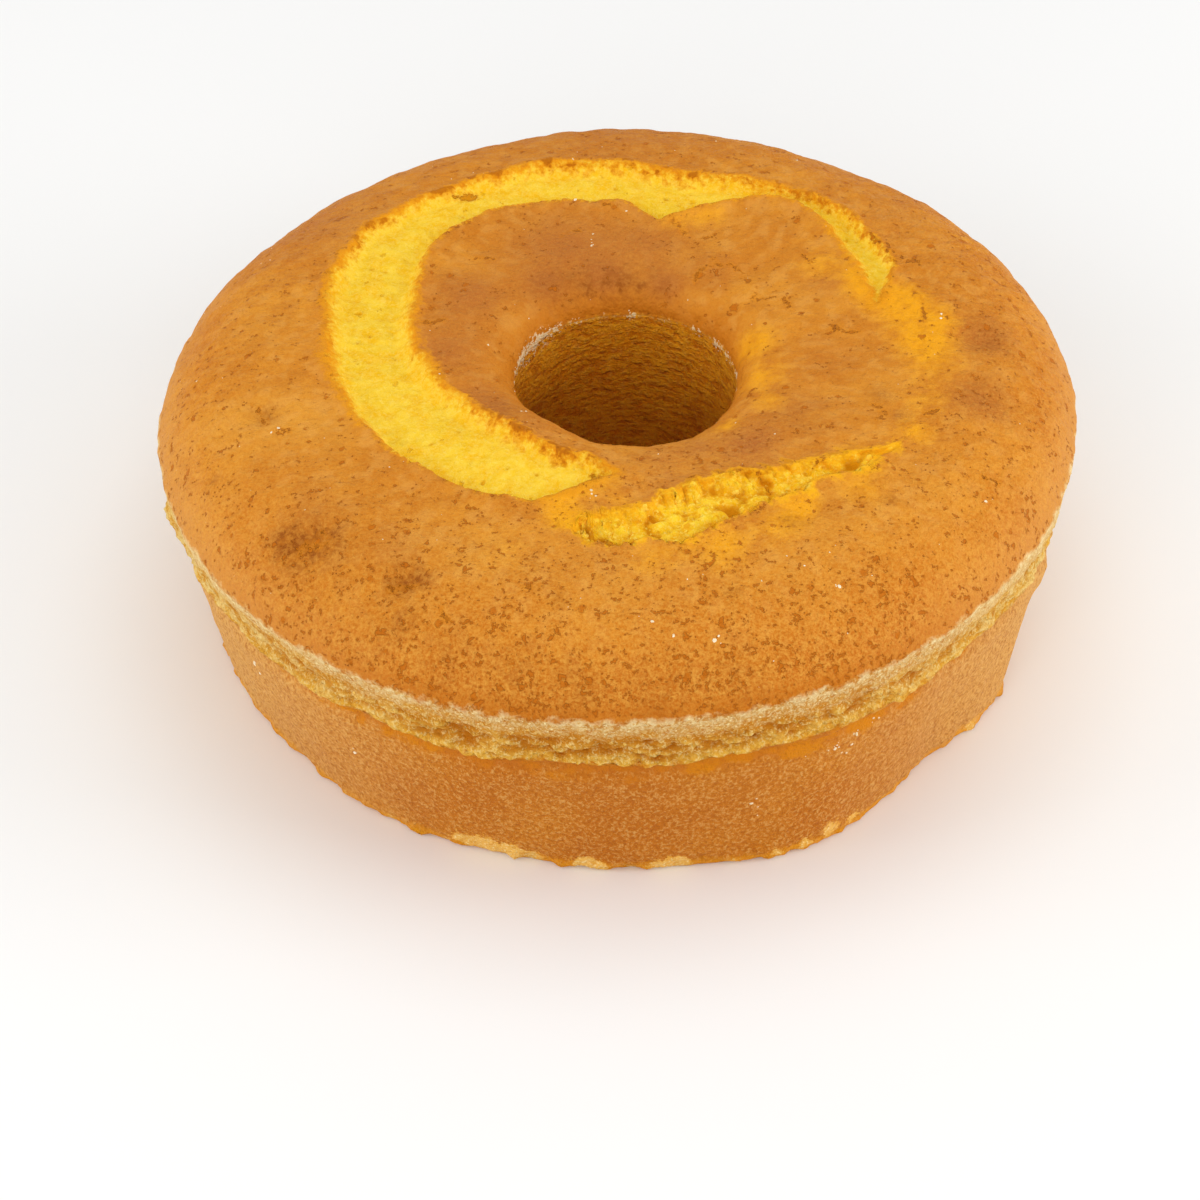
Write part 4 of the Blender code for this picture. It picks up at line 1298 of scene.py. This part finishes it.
# Darker over the last nine millimetres before the hole's lip.
darker_at_hole_lip = add(
    tree, "MapRange", down_hole, -9.0, -0.5, 0.0, 0.75, interpolation_type="SMOOTHSTEP",
)
flour_patches = add(tree, "MapRange", crumbs, 0.36, 0.62, -0.7, 0.4)
flour_patches = add(tree, "Math", flour_patches, mark["floured"], operation="ADD")
flour_patches = add(tree, "MapRange", flour_patches, 0.42, 0.62)
colour = coats(
    tree, top_colour,
    (darker_at_hole_lip, "#C4720E"),
    (past_rim, side_colour),
    (foot_line, "#E89A14"),
    (chip_halo, "#EAA42C"),
    (chip_edge, chip_colour),
    (past_lip, hole_wall_colour),
    (flour_patches, 0.8, "#F2D8A8"),
)
print("side and hole:", len(tree.nodes), "nodes")

# %% [markdown]
# ### Grain that the light catches
#
# The mesh holds forms down to about two millimetres, and bump adds the finer ones. Every
# height is in millimetres and the bump's distance is one millimetre, so a pit of 0.25 is
# as deep as it says. Bump works out its heights three times over, so its masks come almost
# straight from the marks.

# %% Heights of the fine grain, in millimetres
off_top = add(tree, "MapRange", mark["from_rim"], -1.2, 1.2)
in_crumb = add(tree, "MapRange", mark["in_split"], 0.0, 1.5)
on_crust = add(tree, "Math", add(tree, "Math", 1.0, in_crumb, operation="SUBTRACT"), off_top,
               operation="SUBTRACT", use_clamp=True)
gritty = add(tree, "MapRange", mark["below_crumb"], 0.8, -0.4)
gritty = add(tree, "Math", gritty, off_top, operation="MULTIPLY")
off_side = add(tree, "Math", 1.0, off_top, operation="SUBTRACT")
crust_grain = add(tree, "Math", on_crust, near_rim, operation="MULTIPLY")
down_wall = add(tree, "MapRange", mark["in_hole"], -0.5, 1.0)
fine_height = add(tree, "Math", grit, 0.2, operation="MULTIPLY")
for mask, pattern, amount in (
    (on_crust, crust_pits, -0.25), (on_crust, pinholes, -0.25), (off_side, crack_core_and_shade, -0.35),
    (on_crust, pores, 0.9), (crust_grain, crumbs, 0.65), (in_crumb, crumbs, 0.22),
    (in_crumb, bubbles, -0.22), (off_top, speckle, 0.8), (gritty, crumbs, 0.8),
    (down_wall, ripples, 2.2),
):
    part = add(tree, "Math", mask, pattern, operation="MULTIPLY")
    fine_height = roughened(tree, fine_height, (part, amount))
grain_bump = add(tree, "Bump", 1.0, MM, Height=fine_height)

# %% Gloss: crust has a faint baked sheen, crumb has none
dry = add(tree, "Math", in_crumb, gritty, operation="MAXIMUM")
roughness = add(tree, "Mix", dry, add(tree, "MapRange", crumbs, 0.3, 0.7, 0.6, 0.75), 0.9)
shader = add(
    tree, "BsdfPrincipled", colour, Roughness=roughness, IOR=1.4, Specular_IOR_Level=0.18,
    Normal=grain_bump,
)
add(tree, "OutputMaterial", shader)
print("sponge finish:", len(tree.nodes), "nodes")

# %% [markdown]
# ## Dressing the skin
#
# The relief tree now runs over the skin, with the finish as its material. The result is
# kept as a plain mesh. The roughening may lift a point above the highest place of the
# solid, so the skin is eased back by that little, to stay within the size it stands for.

# %% Run the relief and keep the size
def eased_into(mesh, low, high):
    """Scales a mesh about the middle of its base, only as far as the box asks."""
    places = np.empty(3 * len(mesh.vertices), np.float32)
    mesh.vertices.foreach_get("co", places)
    places = places.reshape(-1, 3)
    reach = np.abs(places[:, :2]).max(0)
    share = [
        min(1.0, high.x / reach[0]), min(1.0, high.y / reach[1]),
        min(1.0, high.z / places[:, 2].max()),
    ]
    places[:, 2] = np.maximum(places[:, 2], low.z)
    mesh.vertices.foreach_set("co", (places * share).astype(np.float32).ravel())
    mesh.update()
    return share


apply_tree(cake_body, relief_tree, Material=sponge)
share = eased_into(cake_body.data, SOLID_LOW, SOLID_HIGH)
print(
    "skin eased by", [round(part, 4) for part in share], "marks kept:",
    "relief" in cake_body.data.attributes,
)

# %% [markdown]
# ## Crumbs, scattered by rule
#
# Crumbs cling where the sponge tore, lie loose on the crust, and pale floury ones sit on
# the hole's lip. They are all small lumps on a surface, so one tree scatters them: it
# draws points where a mark is high, puts a lump of a few dozen faces at each, turns and
# scales it at random from a fixed seed, and dents it with noise so that no two are alike.
# Each lump carries the marks of the place it lies on, so it takes the colour of that place,
# and a tone of its own, by which the finish makes it paler than the torn dough around it.

# %% The scatter tree
DENT_SIZE, FLOUR_GRAIN_SIZE = 0.9, 1.2


def scatter_tree():
    tree, given, result = geometry_tree(
        "scattered_crumbs", Mark="floured", Per_square_mm=0.2, Smallest=0.4, Largest=1.2, Sunk=0.3,
        Flatness=0.8, Dent=0.35, Scale=MM, Seed=3,
    )
    mark = add(tree, "GeometryNodeInputNamedAttribute", given.outputs["Mark"])
    mark = add(tree, "MapRange", mark, 0.25, 0.75)
    unit = add(tree, "Math", given.outputs["Scale"], 2.0, operation="POWER")
    density = add(tree, "Math", given.outputs["Per square mm"], unit, operation="DIVIDE")
    density = add(tree, "Math", density, mark, operation="MULTIPLY")
    points = add(
        tree, "GeometryNodeDistributePointsOnFaces", given, True, density, given.outputs["Seed"],
    )
    draw = add(
        tree, "FunctionNodeRandomValue", 0.0, 1.0, None, given.outputs["Seed"], data_type="FLOAT",
    )
    draw = add(tree, "Math", draw.outputs[1], 2.2, operation="POWER")
    size = add(
        tree, "MapRange", draw, 0.0, 1.0, given.outputs["Smallest"], given.outputs["Largest"],
    )
    size = add(tree, "Math", size, given.outputs["Scale"], operation="MULTIPLY")
    sunk = add(tree, "Math", size, given.outputs["Sunk"], operation="MULTIPLY")
    sunk = add(tree, "Math", sunk, -0.5, operation="MULTIPLY")
    down = add(tree, "VectorMath", points.outputs["Normal"], sunk, operation="SCALE")
    points_sunk = add(tree, "GeometryNodeSetPosition", points, True, Offset=down)
    cube = add(tree, "GeometryNodeMeshCube", (1.0, 1.0, 1.0), 3, 3, 3)
    round_place = add(
        tree, "VectorMath", add(tree, "GeometryNodeInputPosition"), operation="NORMALIZE",
    )
    round_place = add(tree, "VectorMath", round_place, 0.5, operation="SCALE")
    lump = add(tree, "GeometryNodeSetPosition", cube, True, round_place)
    turn_about = add(tree, "FunctionNodeRandomValue", (0.0, 0.0, 0.0), (0.6, 0.6, 2 * pi), None,
                     given.outputs["Seed"], data_type="FLOAT_VECTOR")
    rotation = add(tree, "FunctionNodeRotateRotation", points.outputs["Rotation"], turn_about,
                   rotation_space="LOCAL")
    flat = add(tree, "CombineXYZ", 1.0, 0.8, given.outputs["Flatness"])
    flat = add(tree, "VectorMath", flat, size, operation="SCALE")
    lumps = add(
        tree, "GeometryNodeInstanceOnPoints", points_sunk, True, lump, Rotation=rotation,
        Scale=flat,
    )
    tone = add(
        tree, "FunctionNodeRandomValue", 0.2, 1.0, None, given.outputs["Seed"], data_type="FLOAT",
    )
    lumps = add(tree, "GeometryNodeStoreNamedAttribute", lumps, True, "crumb_tone", tone.outputs[1],
                domain="INSTANCE")
    real = add(tree, "GeometryNodeRealizeInstances", lumps)
    where = add(
        tree, "VectorMath", add(tree, "GeometryNodeInputPosition"), 1 / MM, operation="SCALE",
    )
    dents = add(tree, "TexNoise", where, 1 / DENT_SIZE, 1.0)
    dents = add(tree, "VectorMath", dents.outputs["Color"], (0.5, 0.5, 0.5), operation="SUBTRACT")
    dent_size = add(
        tree, "Math", given.outputs["Dent"], given.outputs["Scale"], operation="MULTIPLY",
    )
    dents = add(tree, "VectorMath", dents, dent_size, operation="SCALE")
    dented = add(tree, "GeometryNodeSetPosition", real, True, Offset=dents)
    rounded = add(tree, "GeometryNodeSetShadeSmooth", dented)
    finished = add(tree, "GeometryNodeSetMaterial", rounded, True, given.outputs["Material"])
    tree.links.new(finished.outputs[0], result.inputs[0])
    return tree


crumb_tree = scatter_tree()
print("scatter tree:", len(crumb_tree.nodes), "nodes")

# %% Marks that only the crumbs need
def mark_of(mesh, name):
    values = np.empty(len(mesh.vertices), np.float32)
    mesh.attributes[name].data.foreach_get("value", values)
    return values


body_mesh = cake_body.data
in_split, in_torn = mark_of(body_mesh, "in_split"), mark_of(body_mesh, "torn_split")
below_band, below_crumb = mark_of(body_mesh, "below_band"), mark_of(body_mesh, "below_crumb")
from_rim_edge = mark_of(body_mesh, "from_rim")
write_marks(body_mesh, {
    "torn_places": smooth(in_split / 2) * in_torn,
    "ledge_places": smooth(below_band / 4 + 0.6) * smooth(0.8 - below_crumb),
    "edge_places": smooth((below_crumb + 2.6) / 1.5) * smooth(0.4 - below_crumb),
    "band_places": smooth(from_rim_edge / 1.5 + 0.6) * smooth(0.2 - below_band / 4),
    "crust_places": smooth(-in_split / 3) * smooth(-from_rim_edge / 4),
})

# %% Scatter each kind of crumb over the skin
def scattered(name, material, mark, per_square_mm, smallest, largest, sunk, flatness, seed):
    crumbs = placed(name, cake_body.data.copy())
    apply_tree(
        crumbs, crumb_tree, Mark=mark, Per_square_mm=per_square_mm, Smallest=smallest,
        Largest=largest, Sunk=sunk, Flatness=flatness, Seed=seed, Material=material,
    )
    print(name, len(crumbs.data.polygons), "faces")
    return crumbs


pale, pale_tree, pale_place = finish("dry_flour_crumbs")
pale_grain = add(pale_tree, "TexNoise", pale_place, 1 / FLOUR_GRAIN_SIZE, 2.0)
pale_colour = coats(
    pale_tree, paint("#E3CDA2"), (add(pale_tree, "MapRange", pale_grain, 0.42, 0.6), "#F2E4C6"),
)
add(
    pale_tree, "OutputMaterial",
    add(pale_tree, "BsdfPrincipled", pale_colour, Roughness=0.9, IOR=1.4),
)

pieces = [
    scattered("torn_crumbs", sponge, "torn_places", 0.20, 0.9, 3.0, 0.7, 0.8, 5),
    scattered("ledge_crumbs", sponge, "ledge_places", 0.18, 0.6, 2.2, 0.7, 0.6, 6),
    scattered("edge_crumbs", sponge, "edge_places", 0.14, 1.0, 2.8, 0.7, 0.6, 10),
    scattered("band_grit", sponge, "band_places", 0.35, 0.4, 1.2, 0.5, 0.7, 11),
    scattered("flour_on_lip", pale, "floured", 1.6, 0.25, 0.8, 0.4, 0.6, 7),
    scattered("loose_crumbs", pale, "flecked", 0.8, 0.4, 1.6, 0.3, 0.6, 8),
    scattered("crumb_dust", pale, "crust_places", 0.0022, 0.25, 0.75, 0.3, 0.6, 9),
]

# %% [markdown]
# ## Floor, light and camera
#
# The cake stands on a plain pale floor in a white studio, whose walls light it evenly. A
# broad softbox hangs overhead, one in front reaches into the hole, and two at the sides
# lift the tin wall there, so that the front of the wall stays the darkest side. The camera
# stands where the cracks were noted from. It looks down at 42 degrees through a long lens,
# which keeps the foot from looking much smaller than the rim.

# %% Floor
def quad(name, half, z):
    mesh = bpy.data.meshes.new(name)
    mesh.from_pydata(
        [(-half, -half, z), (half, -half, z), (half, half, z), (-half, half, z)], [],
        [(0, 1, 2, 3)],
    )
    return placed(name, mesh)


FLOOR_HALF, FLOOR_DROP = 3.0, 0.05 * MM
floor = quad("floor", FLOOR_HALF, -FLOOR_DROP)
matt = bpy.data.materials.new("matt_paper")
matt.use_nodes = True
paper = matt.node_tree.nodes["Principled BSDF"].inputs
paper["Base Color"].default_value = paint("#F1F1F0")
paper["Roughness"].default_value = 0.9
floor.data.materials.append(matt)
floor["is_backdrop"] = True

# %% Light
CAKE_MIDDLE = Vector((0, 0, 0.04))


def softbox(name, place, size, power):
    """A square lamp that faces the middle of the cake."""
    lamp = bpy.data.lights.new(name, "AREA")
    lamp.size, lamp.energy = size, power
    box = placed(name, lamp)
    box.location = place
    box.rotation_euler = (CAKE_MIDDLE - Vector(place)).to_track_quat("-Z", "Y").to_euler()


softbox("overhead", (0.1, 0.25, 1.5), 1.1, 4.0)
softbox("front", (-0.25, -1.3, 0.8), 0.9, 5.0)
softbox("left", (-1.3, -0.25, 0.5), 0.8, 5.0)
softbox("right", (1.3, -0.2, 0.45), 0.8, 7.5)
world = bpy.data.worlds.new("studio")
bpy.context.scene.world = world
world.use_nodes = True
walls = world.node_tree.nodes["Background"].inputs
walls["Color"].default_value = (1.0, 1.0, 1.0, 1.0)
walls["Strength"].default_value = 0.70
bpy.context.scene.view_settings.view_transform = "Standard"

# %% Camera
lens = bpy.data.cameras.new("camera")
lens.sensor_width = SENSOR_SIDE
lens.lens = FOCAL_LENGTH
lens.clip_end = 20.0
camera = placed("camera", lens)
camera.location = EYE
camera.rotation_euler = (pi / 2 - ELEVATION, 0, 0)
bpy.context.scene.camera = camera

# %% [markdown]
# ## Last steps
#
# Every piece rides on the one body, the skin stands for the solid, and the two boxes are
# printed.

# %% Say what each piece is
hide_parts("cake")
for piece in (cake_body, *pieces):
    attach(piece, "root")

sizes = {"cad": CAD_BOX, "visual": [list(corner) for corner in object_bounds()]}
for name, box in sizes.items():
    print(name, "box in mm:", [[round(1000 * value, 2) for value in corner] for corner in box])
